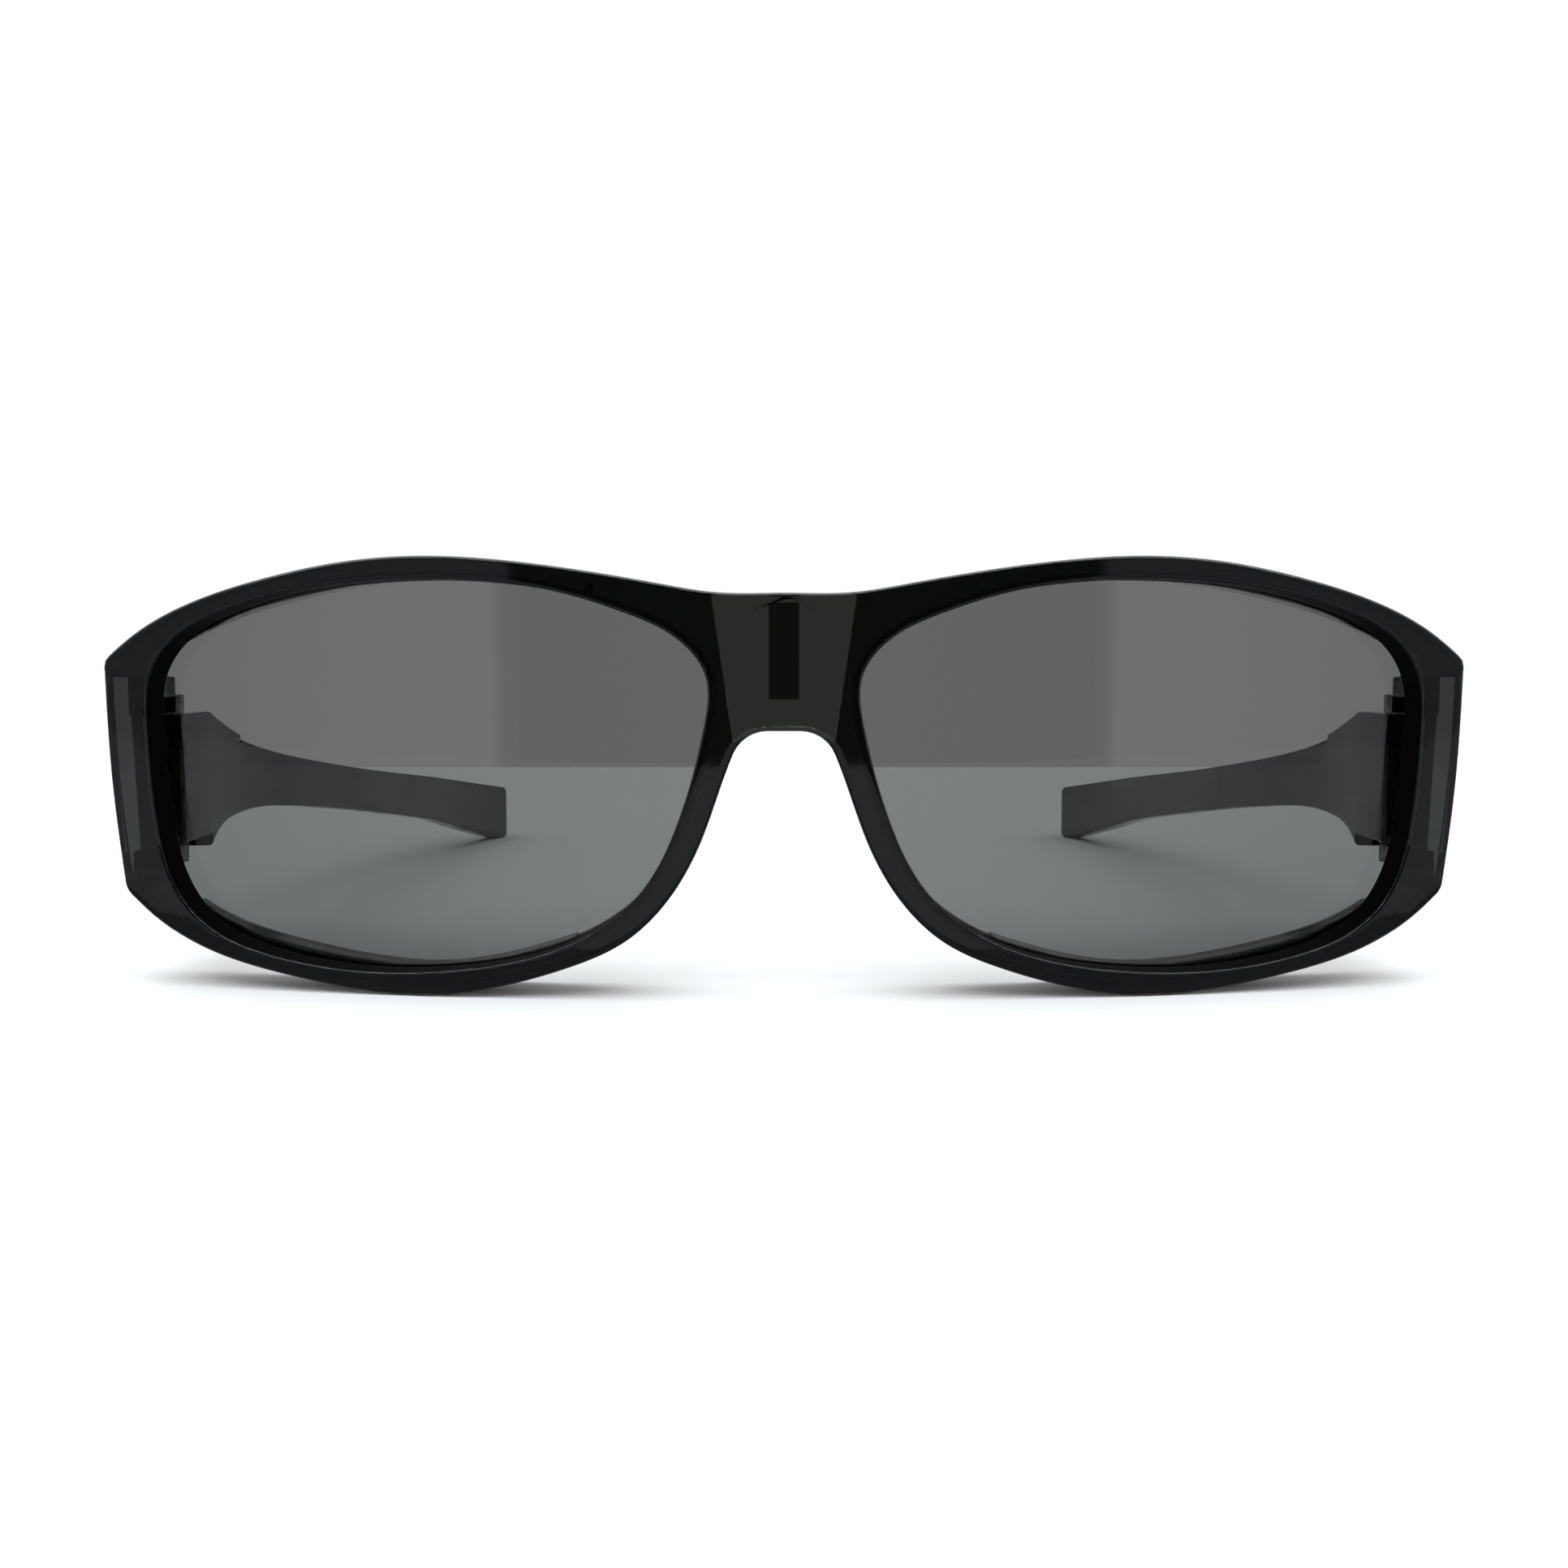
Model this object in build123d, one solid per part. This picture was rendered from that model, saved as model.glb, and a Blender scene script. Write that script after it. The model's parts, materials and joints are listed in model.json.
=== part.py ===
from build123d import *
import math
import os

# Fit-over sunglasses: a one-piece moulded front, two tinted lenses, two wide temples and two
# hinge screws. X runs to the viewer's right, Y runs back from the bridge to the temple tips and
# Z is up. Lengths are in millimetres. While a piece is made, Y is 0 at the front of the bridge.
# A depth is measured into the front along the radius of its curved face.

# Front
half_width = 74.7           # nose line to the outer edge of one end
front_height = 46.8         # lowest point of the rims to the crown of the brow line
wrap_radius = 300.0         # the front face is a cylinder of this radius, standing upright
rim_depth = 5.6             # bridge, rims and end strips
skirt_depth = 8.9           # brow, cheek and nose walls, which go on behind the rims
skirt_wall = 2.3            # thickness of the brow and cheek walls
outer_bevel = 0.6           # bevelled edge of the front face, along the brow and the end
window_bevel = 0.5          # bevelled edge of each lens window

# Nose arch and bridge
arch_height = 28.5          # top of the arch
arch_half_width = 17.1      # where the arch runs into the lower rims
arch_flat = 1.7             # half of the arch's level top
arch_shoulder = 3.9         # radius of its shoulders
arch_side_angle = 67.0      # its sides stand this steep below the shoulders, in degrees
bridge_half_top = 7.7       # thin bridge plate, half its width at the brow line
bridge_half_bottom = 5.6    # and at the arch
rib_width = 3.2             # upright rib behind the middle of the bridge
rib_inset = 0.9             # top of the rib below the brow line
rib_drop = 10.2
rib_depth = 8.6

# Windows and lenses
window_end_gap = 4.9        # window to the outer edge of the front
window_nose_gap = 7.9       # window to the nose line
window_brow_gap = 2.35      # window to the crown of the brow line
window_cheek_gap = 2.55     # window to the lowest point of the rim
lens_depth = 3.3            # the lens lies this far behind the front face
lens_thickness = 1.2
lens_hold = 0.75            # width of lens edge held in the groove
groove_gap = 0.1            # between the lens edge and the floor of its groove
groove_side_gap = 0.05      # between each face of the lens and its groove

# End blocks and hinge lugs, on the front
upper_block = 1.85          # least height of the block above the open end strip
lower_block = 0.6           # and of the block below it
strip_step = 1.7            # the strip's ceiling is this much lower beside the lug
strip_step_width = 2.1      # width of the higher part, at the outer edge
hinge_inset = 3.1           # hinge axis inside the outer edge of the front
hinge_reach = 11.0          # hinge axis behind the outer edge of the front face
knuckle_radius = 1.5
lug_height = 2.15
upper_lug_gap = 0.4         # from the strip's ceiling down to the upper lug
lower_lug_gap = 1.0         # from the strip's floor up to the lower lug
lug_start = 6.2             # front end of the lugs, behind the outer edge of the front face
heel_end = 8.8              # rear end of the heels that tie the lugs to the blocks
lug_clearance = 0.15        # between the lugs and the temple's barrel

# Hinge screw
screw_diameter = 1.2
screw_clearance = 0.05      # radial, in the barrel and the upper lug
thread_clearance = 0.02     # radial, in the lower lug
head_diameter = 2.1
head_height = 0.6
head_recess = 0.08          # how far the head lies below the top of its lug
head_gap = 0.1              # radial, between the head and its counterbore
slot_width = 0.35
slot_deep = 0.3
screw_end_gap = 0.3         # the screw ends this far above the underside of the lower lug

# Temples
temple_reach = 140.0        # outer edge of the front face to the temple tip
temple_drop = 1.55          # top of the panel below the upper corner of the front
temple_inset = 0.05         # outer face of the panel inside the outer edge of the front
lean_in = 0.9               # the outer face leans in by this much at the foot of the panel
skin_thickness = 1.35       # the panel's upper and lower corners are a thin skin
pocket_end = 19.4           # rear end of the pockets that leave the skin
tip_round = 2.8
temple_bevel = 0.5          # bevelled long edges of its outer face
facet_start = 30.0          # wide facet on the inner top edge of the arm
facet_end = 58.0
facet_drop = 3.0
facet_width = 1.5
facet_slant = 1.4           # the start of the facet slants back by this much
facet_fade_share = 0.08

overrun = 2.0               # how far a cutting shape runs past what it cuts
hair = 0.01                 # smaller than any real size here

# Outline of the front, from the bridge to the end. The brow and cheek points are shares of
# half_width and front_height; the arch points are shares of arch_half_width and arch_height.
brow_shares = [
    (0.0, 0.916), (0.099, 0.918), (0.167, 0.935), (0.268, 0.963), (0.383, 0.988), (0.489, 1.0),
    (0.609, 0.992), (0.736, 0.956), (0.843, 0.908), (0.946, 0.831), (1.0, 0.766),
]
end_middle_share = (0.9935, 0.481)
cheek_shares = [
    (0.976, 0.2265), (0.930, 0.162), (0.850, 0.092), (0.731, 0.040), (0.609, 0.0080),
    (0.498, 0.0015), (0.392, 0.030), (0.2985, 0.076),
]
arch_shares = [(1.0, 0.2105), (0.749, 0.347), (0.52, 0.575)]
brow_end_direction = (0.77, 0, -0.64)
cheek_start_direction = (-0.72, 0, -0.69)

# Outline of one lens window, going round anticlockwise from its outer side, as shares of the
# window's half width and half height from its centre.
window_shares = [
    (0.998, 0.243), (0.979, 0.511), (0.859, 0.726), (0.677, 0.850), (0.450, 0.938),
    (0.207, 0.986), (-0.045, 1.0), (-0.291, 0.979), (-0.564, 0.902), (-0.719, 0.826),
    (-0.887, 0.706), (-0.990, 0.516), (-0.985, 0.263), (-0.900, -0.196), (-0.761, -0.582),
    (-0.522, -0.838), (-0.265, -0.950), (-0.018, -0.995), (0.237, -0.998), (0.538, -0.936),
    (0.703, -0.859), (0.850, -0.708), (0.934, -0.496), (0.971, -0.258),
]

# Side view of the temple. Each point is a share of temple_reach and a share of temple_height.
temple_top_shares = [
    (0.06, 1.0147), (0.086, 0.967), (0.1286, 0.878), (0.171, 0.816), (0.214, 0.763),
    (0.343, 0.650), (0.486, 0.562), (0.629, 0.490), (0.771, 0.420), (0.9, 0.347), (1.0, 0.286),
]
temple_low_shares = [
    (0.06, 0.315), (0.118, 0.318), (0.139, 0.382), (0.162, 0.434), (0.2, 0.464),
    (0.25, 0.472), (0.343, 0.442), (0.486, 0.368), (0.629, 0.284), (0.771, 0.190),
    (0.9, 0.072), (1.0, -0.0195),
]

# Plan of the temple. Each point is a share of temple_reach and a share of temple_out.
outer_shares = [
    (0.1, 0.997), (0.143, 0.992), (0.214, 0.980), (0.343, 0.961), (0.486, 0.937),
    (0.629, 0.9125), (0.771, 0.883), (0.9, 0.845), (1.0, 0.7965),
]
inner_shares = [
    (0.1286, 0.9405), (0.214, 0.943), (0.343, 0.9235), (0.486, 0.897), (0.629, 0.870),
    (0.771, 0.8375), (0.9, 0.797), (1.0, 0.7485),
]


# Places that follow from the sizes above
window_half_width = (half_width - window_end_gap - window_nose_gap) / 2
window_half_height = (front_height - window_brow_gap - window_cheek_gap) / 2
window_centre_x = window_nose_gap + window_half_width
window_centre_z = window_cheek_gap + window_half_height
corner_high = brow_shares[-1][1] * front_height
corner_low = cheek_shares[0][1] * front_height
block_step_x = half_width - strip_step_width
strip_low = corner_low + lower_block
strip_high_outer = corner_high - upper_block
strip_high = strip_high_outer - strip_step
upper_lug_high = strip_high - upper_lug_gap
upper_lug_low = upper_lug_high - lug_height
lower_lug_low = strip_low + lower_lug_gap
lower_lug_high = lower_lug_low + lug_height
hinge_x = half_width - hinge_inset
temple_height = corner_high - temple_drop
temple_out = half_width - temple_inset
skin_inner_x = temple_out - skin_thickness
wrap_sag = wrap_radius - math.sqrt(wrap_radius ** 2 - half_width ** 2)
overall_depth = wrap_sag + temple_reach
hinge_y = wrap_sag + hinge_reach
temple_front_y = hinge_y - knuckle_radius
barrel_low = lower_lug_high + lug_clearance
barrel_high = upper_lug_low - lug_clearance
cut_height = 2 * front_height
cut_depth = skirt_depth + wrap_sag + overrun


def scaled(shares, width, height):
    """Turns a table of shares into points (x, z)."""
    return [(x * width, z * height) for x, z in shares]


def grown(points, amount, closed=True):
    """Moves each point of an anticlockwise outline outwards by amount, square to its neighbours."""
    count = len(points)
    moved = []
    for index, (x, z) in enumerate(points):
        before = points[index - 1] if closed or index > 0 else points[index]
        after = points[(index + 1) % count] if closed or index < count - 1 else points[index]
        dx, dz = after[0] - before[0], after[1] - before[1]
        length = math.hypot(dx, dz)
        moved.append((x + amount * dz / length, z - amount * dx / length))
    return moved


def upright(points, y=0.0):
    """Puts points (x, z) into the upright plane at y."""
    return [Vector(x, y, z) for x, z in points]


def inside(depth):
    """Everything that lies deeper than depth behind the curved front face."""
    round_bar = Cylinder(wrap_radius - depth, cut_height)
    return Pos(0, wrap_radius, front_height / 2) * round_bar


def through(face, start, length):
    """Carries an upright face backwards, from start, over length."""
    return extrude(Pos(0, start, 0) * face, amount=length, dir=(0, 1, 0))


def window_face(points, y):
    """The window outline where its radial walls cross the upright plane at y."""
    spread = [(x * (wrap_radius - y) / math.sqrt(wrap_radius ** 2 - x ** 2), z) for x, z in points]
    return make_face(Spline(*upright(spread, y), periodic=True))


def window_prism(growth):
    """A bar with walls square to the curved face, through the window grown by growth."""
    centred = scaled(window_shares, window_half_width, window_half_height)
    points = [(x + window_centre_x, z + window_centre_z) for x, z in centred]
    points = grown(points, growth)
    near = window_face(points, -overrun)
    far = window_face(points, cut_depth)
    return loft([near, far], ruled=True)


def outline_points():
    """The brow line from bridge to end, and the lower edge from end to arch."""
    brow = scaled(brow_shares, half_width, front_height)
    cheek = scaled(cheek_shares, half_width, front_height)
    arch = scaled(arch_shares, arch_half_width, arch_height)
    turn = math.radians(arch_side_angle)
    shoulder_x = arch_flat + arch_shoulder * math.sin(turn)
    shoulder_z = arch_height - arch_shoulder * (1 - math.cos(turn))
    return brow, cheek + arch + [(shoulder_x, shoulder_z)]


def outline_face():
    """Half of the front's outline."""
    brow, lower = outline_points()
    middle = (end_middle_share[0] * half_width, end_middle_share[1] * front_height)
    flat_end, arch_top = (arch_flat, arch_height), (0, arch_height)
    turn = math.radians(arch_side_angle)
    side_direction = (-math.cos(turn), 0, math.sin(turn))
    edges = [
        Spline(*upright(brow), tangents=[(1, 0, 0), brow_end_direction]),
        ThreePointArc(*upright([brow[-1], middle, lower[0]])),
        Spline(*upright(lower), tangents=[cheek_start_direction, side_direction]),
        TangentArc(*upright([flat_end, lower[-1]]), tangent=(1, 0, 0)),
        Line(*upright([flat_end, arch_top])),
        Line(*upright([arch_top, brow[0]])),
    ]
    return make_face(edges)


def eye_hollow():
    """What the skirt leaves open round a window: the outline less the wall, as far as the blocks."""
    brow, lower = outline_points()
    ceiling = grown(brow[::-1], -skirt_wall, closed=False)[1:8]
    floor = grown(lower, skirt_wall, closed=False)[1:8]
    edges = [
        Spline(*upright(ceiling)),
        Line(*upright([ceiling[-1], floor[-1]])),
        Spline(*upright(floor)),
        Line(*upright([floor[0], ceiling[0]])),
    ]
    return through(make_face(edges), 0, cut_depth)


def strip_hollow():
    """The open side of the end, between the upper and the lower block."""
    inner = window_centre_x + window_half_width - skirt_wall
    outer = half_width + overrun
    corners = [
        (inner, strip_low), (outer, strip_low), (outer, strip_high_outer),
        (block_step_x, strip_high_outer), (block_step_x, strip_high), (inner, strip_high),
    ]
    return through(make_face(Polyline(*upright(corners), close=True)), 0, cut_depth)


def bridge_hollow():
    """Behind the bridge only the thin plate stays. Its sides follow the noses of the walls."""
    slope = (bridge_half_top - bridge_half_bottom) / (brow_shares[0][1] * front_height - arch_height)
    foot = bridge_half_bottom - slope * arch_height
    top = front_height + overrun
    head = bridge_half_bottom + slope * (top - arch_height)
    corners = [(-overrun, 0), (foot, 0), (head, top), (-overrun, top)]
    return through(make_face(Polyline(*upright(corners), close=True)), 0, cut_depth)


def turned_post(radius, low, high):
    """A round post on the hinge axis."""
    return Pos(hinge_x, hinge_y, (low + high) / 2) * Cylinder(radius, high - low)


def lug(low, high, heel_low, heel_high):
    """A hinge lug with a round end, and the heel that ties it to its block."""
    start_y = wrap_sag + lug_start
    arm_length = hinge_y - start_y
    arm = Pos(hinge_x, start_y + arm_length / 2, (low + high) / 2)
    arm *= Box(2 * knuckle_radius, arm_length, high - low)
    heel_length = heel_end - lug_start
    heel = Pos(hinge_x, start_y + heel_length / 2, (heel_low + heel_high) / 2)
    heel *= Box(2 * knuckle_radius, heel_length, heel_high - heel_low)
    return arm + heel + turned_post(knuckle_radius, low, high)


def front_face(solid):
    """The curved front face."""
    round_faces = solid.faces().filter_by(GeomType.CYLINDER)
    return [face for face in round_faces if abs(face.radius - wrap_radius) < hair][0]


def front_half():
    """The half of the front on the +X side."""
    bar = through(outline_face(), -overrun, cut_depth + overrun)
    window = window_prism(0)
    rim = (bar & inside(0)) - inside(rim_depth)
    upper_edges = [edge for edge in front_face(rim).edges() if edge.center().Z > front_height / 4]
    outer_edges = [edge for edge in upper_edges if edge.center().X > arch_half_width]
    rim = chamfer(outer_edges, outer_bevel) - window
    window_edges = [edge for edge in front_face(rim).edges() if edge.is_closed]
    rim = chamfer(window_edges, window_bevel)
    walls = (bar & inside(rim_depth - hair)) - inside(skirt_depth) - window
    walls -= eye_hollow()
    walls -= strip_hollow()
    walls -= bridge_hollow()
    rib_top = brow_shares[0][1] * front_height - rib_inset
    rib = Pos(0, rib_depth / 2, rib_top - rib_drop / 2) * Box(rib_width, rib_depth, rib_drop)
    rib = rib & inside(rim_depth - hair)
    rib = split(rib, Plane.YZ)
    groove = window_prism(lens_hold + groove_gap) & inside(lens_depth - groove_side_gap)
    groove -= inside(lens_depth + lens_thickness + groove_side_gap)
    half = rim + walls + rib
    half += lug(upper_lug_low, upper_lug_high, upper_lug_low, strip_high_outer)
    half += lug(lower_lug_low, lower_lug_high, strip_low - skirt_wall / 2, lower_lug_high)
    half -= groove
    upper_bore = screw_diameter / 2 + screw_clearance
    half -= turned_post(upper_bore, upper_lug_low - overrun, upper_lug_high + overrun)
    head_low = upper_lug_high - head_recess - head_height
    half -= turned_post(head_diameter / 2 + head_gap, head_low, upper_lug_high + overrun)
    lower_bore = screw_diameter / 2 + thread_clearance
    half -= turned_post(lower_bore, lower_lug_low - hair, lower_lug_high + hair)
    return half


def lens():
    """The lens on the +X side: a curved plate a little wider than its window."""
    plate = window_prism(lens_hold) & inside(lens_depth)
    return plate - inside(lens_depth + lens_thickness)


def screw():
    """Hinge screw: a shank, a flat head and a slot across the head."""
    head_high = upper_lug_high - head_recess
    head_low = head_high - head_height
    shank = turned_post(screw_diameter / 2, lower_lug_low + screw_end_gap, head_low)
    head = turned_post(head_diameter / 2, head_low, head_high)
    slot = Pos(hinge_x, hinge_y, head_high) * Box(head_diameter + overrun, slot_width, 2 * slot_deep)
    return shank + head - slot


def temple_points(shares, height):
    """Turns shares of the temple's reach and of height into points, with Y measured from the bridge."""
    return [(wrap_sag + along * temple_reach, across * height) for along, across in shares]


def along(shares, reach):
    """Reads a table of shares at a distance behind the outer edge of the front, by straight lines."""
    place = reach / temple_reach
    for (start, low), (end, high) in zip(shares, shares[1:]):
        if start <= place <= end:
            return low + (high - low) * (place - start) / (end - start)
    return shares[-1][1]


def temple_side():
    """The temple's side view, swept across its width."""
    top = [Vector(0, y, z) for y, z in temple_points(temple_top_shares, temple_height)]
    low = [Vector(0, y, z) for y, z in temple_points(temple_low_shares, temple_height)]
    front_top = Vector(0, temple_front_y - overrun, top[0].Z)
    front_low = Vector(0, temple_front_y - overrun, low[0].Z)
    edges = [
        Spline(*top), Line(top[-1], low[-1]), Spline(*low),
        Line(low[0], front_low), Line(front_low, front_top), Line(front_top, top[0]),
    ]
    side = make_face(edges)
    tip_corners = side.vertices().sort_by(Axis.Y)[-2:]
    side = fillet(tip_corners, tip_round)
    return extrude(side, amount=half_width + overrun, dir=(1, 0, 0))


def temple_plan():
    """The temple's plan view, swept over its height. Its inner front corner is the hinge barrel."""
    outer = [Vector(x, y, 0) for y, x in temple_points(outer_shares, temple_out)]
    inner = [Vector(x, y, 0) for y, x in temple_points(inner_shares, temple_out)]
    corner = Vector(hinge_x - knuckle_radius, temple_front_y, 0)
    outer_front = Vector(temple_out, temple_front_y, 0)
    edges = [
        Line(corner, outer_front), Line(outer_front, outer[0]), Spline(*outer),
        Line(outer[-1], inner[-1]), Spline(*inner), Line(inner[0], corner),
    ]
    plan = make_face(edges)
    barrel_corner = plan.vertices().sort_by_distance(corner)[0]
    plan = fillet([barrel_corner], knuckle_radius - hair)
    return extrude(Pos(0, 0, -overrun) * plan, amount=front_height, dir=(0, 0, 1))


def outer_long_edges(arm):
    """The two edges that run the whole length of the temple on its outer face."""
    longest = arm.edges().sort_by(SortBy.LENGTH)[-4:]
    return longest.sort_by(Axis.X)[-2:]


def temple():
    """The temple on the +X side."""
    arm = temple_side() & temple_plan()
    arm = chamfer(outer_long_edges(arm), temple_bevel)
    pocket_start = temple_front_y - overrun
    pocket_length = wrap_sag + pocket_end - pocket_start
    inner_x = inner_shares[-1][1] * temple_out
    pocket_width = skin_inner_x - inner_x
    pocket = Pos(inner_x + pocket_width / 2, pocket_start + pocket_length / 2, 0)
    pocket *= Box(pocket_width, pocket_length, front_height)
    arm -= Pos(0, 0, barrel_high + front_height / 2) * pocket
    arm -= Pos(0, 0, barrel_low - front_height / 2) * pocket
    arm -= turned_post(screw_diameter / 2 + screw_clearance, -overrun, front_height)
    arm -= lean_cut()
    arm -= facet_cut()
    return arm


def lean_cut():
    """A wedge that makes the outer face of the panel lean in towards its foot."""
    panel_foot = temple_low_shares[0][1] * temple_height
    top, foot = (temple_out, temple_height), (temple_out - lean_in, panel_foot)
    slope = lean_in / (temple_height - panel_foot)
    low_z = -overrun
    low_x = temple_out - slope * (temple_height - low_z)
    wedge = Polyline(Vector(top[0], 0, top[1]), Vector(low_x, 0, low_z), Vector(top[0], 0, low_z), close=True)
    return extrude(make_face(wedge), amount=overall_depth, dir=(0, 1, 0))


def facet_cut():
    """A tapering wedge along the inner top edge of the arm."""
    faces = []
    for reach, fade in ((facet_start, 1), (facet_end, facet_fade_share)):
        inner_x = along(inner_shares, reach) * temple_out
        top_z = along(temple_top_shares, reach) * temple_height
        slant = facet_slant * fade
        y = wrap_sag + reach
        low_z = top_z - facet_drop * fade * (1 + overrun / facet_width)
        high_z = top_z + overrun * facet_drop / facet_width
        corners = [
            Vector(inner_x - overrun, y + slant, low_z),
            Vector(inner_x + facet_width * fade + overrun, y - slant, high_z),
            Vector(inner_x - overrun, y - slant, high_z),
        ]
        faces.append(make_face(Polyline(*corners, close=True)))
    return loft(faces, ruled=True)


def save(name, solid):
    """Moves a finished piece so that the origin is under the middle of the part, and writes it."""
    export_step(Pos(0, -overall_depth / 2, 0) * solid, f"parts/{name}.step")


os.makedirs("parts", exist_ok=True)
right_front = front_half()
save("front_frame", right_front + mirror(right_front, about=Plane.YZ))
for side in ("right", "left"):
    for name, piece in (("lens", lens()), ("temple", temple()), ("hinge_screw", screw())):
        placed = piece if side == "right" else mirror(piece, about=Plane.YZ)
        save(f"{name}_{side}", placed)
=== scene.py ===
# %% [markdown]
# # Fit-over sunglasses
# These are large sunglasses worn over a pair of ordinary glasses. The front is one moulding in
# smoke-grey translucent plastic, with two tinted lenses snapped into grooves and two wide temples
# that fold on small screws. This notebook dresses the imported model: it starts from the frame, so
# every piece made here lies where the construction says.

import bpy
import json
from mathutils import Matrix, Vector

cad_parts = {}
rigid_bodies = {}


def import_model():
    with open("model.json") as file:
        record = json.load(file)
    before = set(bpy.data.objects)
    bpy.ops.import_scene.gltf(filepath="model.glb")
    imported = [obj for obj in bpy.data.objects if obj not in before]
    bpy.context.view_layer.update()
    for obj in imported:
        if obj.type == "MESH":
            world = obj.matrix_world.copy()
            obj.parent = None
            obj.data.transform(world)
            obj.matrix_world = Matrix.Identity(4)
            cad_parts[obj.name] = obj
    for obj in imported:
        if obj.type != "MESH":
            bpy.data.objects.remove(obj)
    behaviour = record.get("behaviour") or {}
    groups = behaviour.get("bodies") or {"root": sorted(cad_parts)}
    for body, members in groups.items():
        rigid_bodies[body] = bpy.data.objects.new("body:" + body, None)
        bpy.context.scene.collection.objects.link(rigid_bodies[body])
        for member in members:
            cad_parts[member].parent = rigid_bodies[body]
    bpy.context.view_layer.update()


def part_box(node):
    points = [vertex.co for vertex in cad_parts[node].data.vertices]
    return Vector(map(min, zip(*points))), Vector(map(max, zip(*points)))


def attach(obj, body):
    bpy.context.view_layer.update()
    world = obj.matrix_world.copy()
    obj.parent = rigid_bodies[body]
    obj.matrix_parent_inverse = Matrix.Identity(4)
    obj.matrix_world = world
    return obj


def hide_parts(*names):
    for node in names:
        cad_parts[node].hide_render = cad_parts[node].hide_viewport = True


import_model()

# %% Tools used below
import json
import math

import bpy
import numpy as np

MM = 0.001                   # the frame is in metres, and the sizes below are in millimetres
tiny = 1e-9                  # places nearer to each other than this count as one
table_gap = 0.02             # nothing visible dips below this height over the table
sides = (("right", 1), ("left", -1))     # the viewer's right has positive X


def quarter_turn(points):
    """Evenly spaced angles from zero to a right angle."""
    return np.linspace(0, math.pi / 2, points)


front_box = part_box("front_frame")
print("front", [round(value / MM, 2) for corner in front_box for value in corner])

# %% [markdown]
# ## Outlines
# A moulded frame is drawn as a few smooth lines: the brow, the end, the cheek and the nose arch.
# They could be Blender curves shaped by hand. Here each is a cubic curve through a handful of
# points, because the surface needs its points and directions as numbers. The slopes come from one
# small linear system that makes the curvature run on evenly from span to span, which is what a
# draughtsman's spline does. X is to the viewer's right and Z is up.

# %% A smooth curve through points
def smooth_curve(points, start=None, end=None, closed=False, steps=16):
    """Cubic Hermite curve p(t) = h00 p0 + h10 m0 + h01 p1 + h11 m1 with chord-length parameters.

    The slopes m solve the equations of equal second derivatives at each inner point. An end takes
    its given direction, or a second derivative of zero.
    """
    points = np.asarray(points, float)
    if closed:
        points = np.vstack([points, points[:1]])
    count = len(points)
    chord = np.linalg.norm(np.diff(points, axis=0), axis=1)
    rise = np.diff(points, axis=0) / chord[:, None]
    system, target = np.zeros((count, count)), np.zeros((count, 2))
    inner = np.arange(1, count - 1)
    system[inner, inner - 1] = chord[1:]
    system[inner, inner] = 2 * (chord[:-1] + chord[1:])
    system[inner, inner + 1] = chord[:-1]
    target[inner] = 3 * (chord[1:, None] * rise[:-1] + chord[:-1, None] * rise[1:])
    if closed:
        system[0, [0, 1, -2]] = 2 * (chord[-1] + chord[0]), chord[-1], chord[0]
        target[0] = 3 * (chord[0] * rise[-1] + chord[-1] * rise[0])
        system[-1, 0], system[-1, -1] = 1, -1
    else:
        for last, beside, direction, slope in ((0, 1, start, rise[0]), (-1, -2, end, rise[-1])):
            if direction is None:
                system[last, last], system[last, beside] = 2, 1
                target[last] = 3 * slope
            else:
                system[last, last] = 1
                target[last] = np.asarray(direction, float) / np.linalg.norm(direction)
    slopes = np.linalg.solve(system, target)
    t = np.linspace(0, 1, steps, endpoint=False)[None, :, None]
    here, there = points[:-1, None], points[1:, None]
    lean = slopes[:-1, None] * chord[:, None, None]
    next_lean = slopes[1:, None] * chord[:, None, None]
    curve = (2 * t ** 3 - 3 * t ** 2 + 1) * here + (t ** 3 - 2 * t ** 2 + t) * lean
    curve += (3 * t ** 2 - 2 * t ** 3) * there + (t ** 3 - t ** 2) * next_lean
    curve = curve.reshape(-1, 2)
    return curve if closed else np.vstack([curve, points[-1]])


# %% Reading a curve
def travelled(curve):
    """Distance along a run of points, starting at zero."""
    return np.concatenate([[0], np.cumsum(np.linalg.norm(np.diff(curve, axis=0), axis=1))])


def read_at(places, distance, curve):
    """Points of a curve at given distances along it, by straight lines between its points."""
    return np.stack([np.interp(places, distance, curve[:, axis]) for axis in (0, 1)], axis=1)


# %% Sizes of the front, in millimetres
half_width = 74.7
front_height = 46.8
wrap_radius = 300.0          # the front is cut from a cylinder of this radius
rim_depth = 5.6              # depth of the moulding at the rims, the bridge and the open ends
skirt_depth = 8.9            # depth of the walls behind the brow, cheeks and nose
skirt_wall = 2.3             # thickness of these walls
temple_reach = 140.0         # from the outer edge of the front back to the temple tips
wrap_sag = wrap_radius - math.sqrt(wrap_radius ** 2 - half_width ** 2)
overall_depth = wrap_sag + temple_reach
arch_height = 28.5           # top of the nose arch
arch_half_width = 17.1
arch_flat = 1.7              # half of the straight run at the top of the arch
arch_shoulder = 3.9          # radius beside that run
arch_side_angle = math.radians(67.0)
corner_round = 0.7           # length that a rounded corner takes from each of its two lines
print("overall depth", round(overall_depth, 2))

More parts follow.
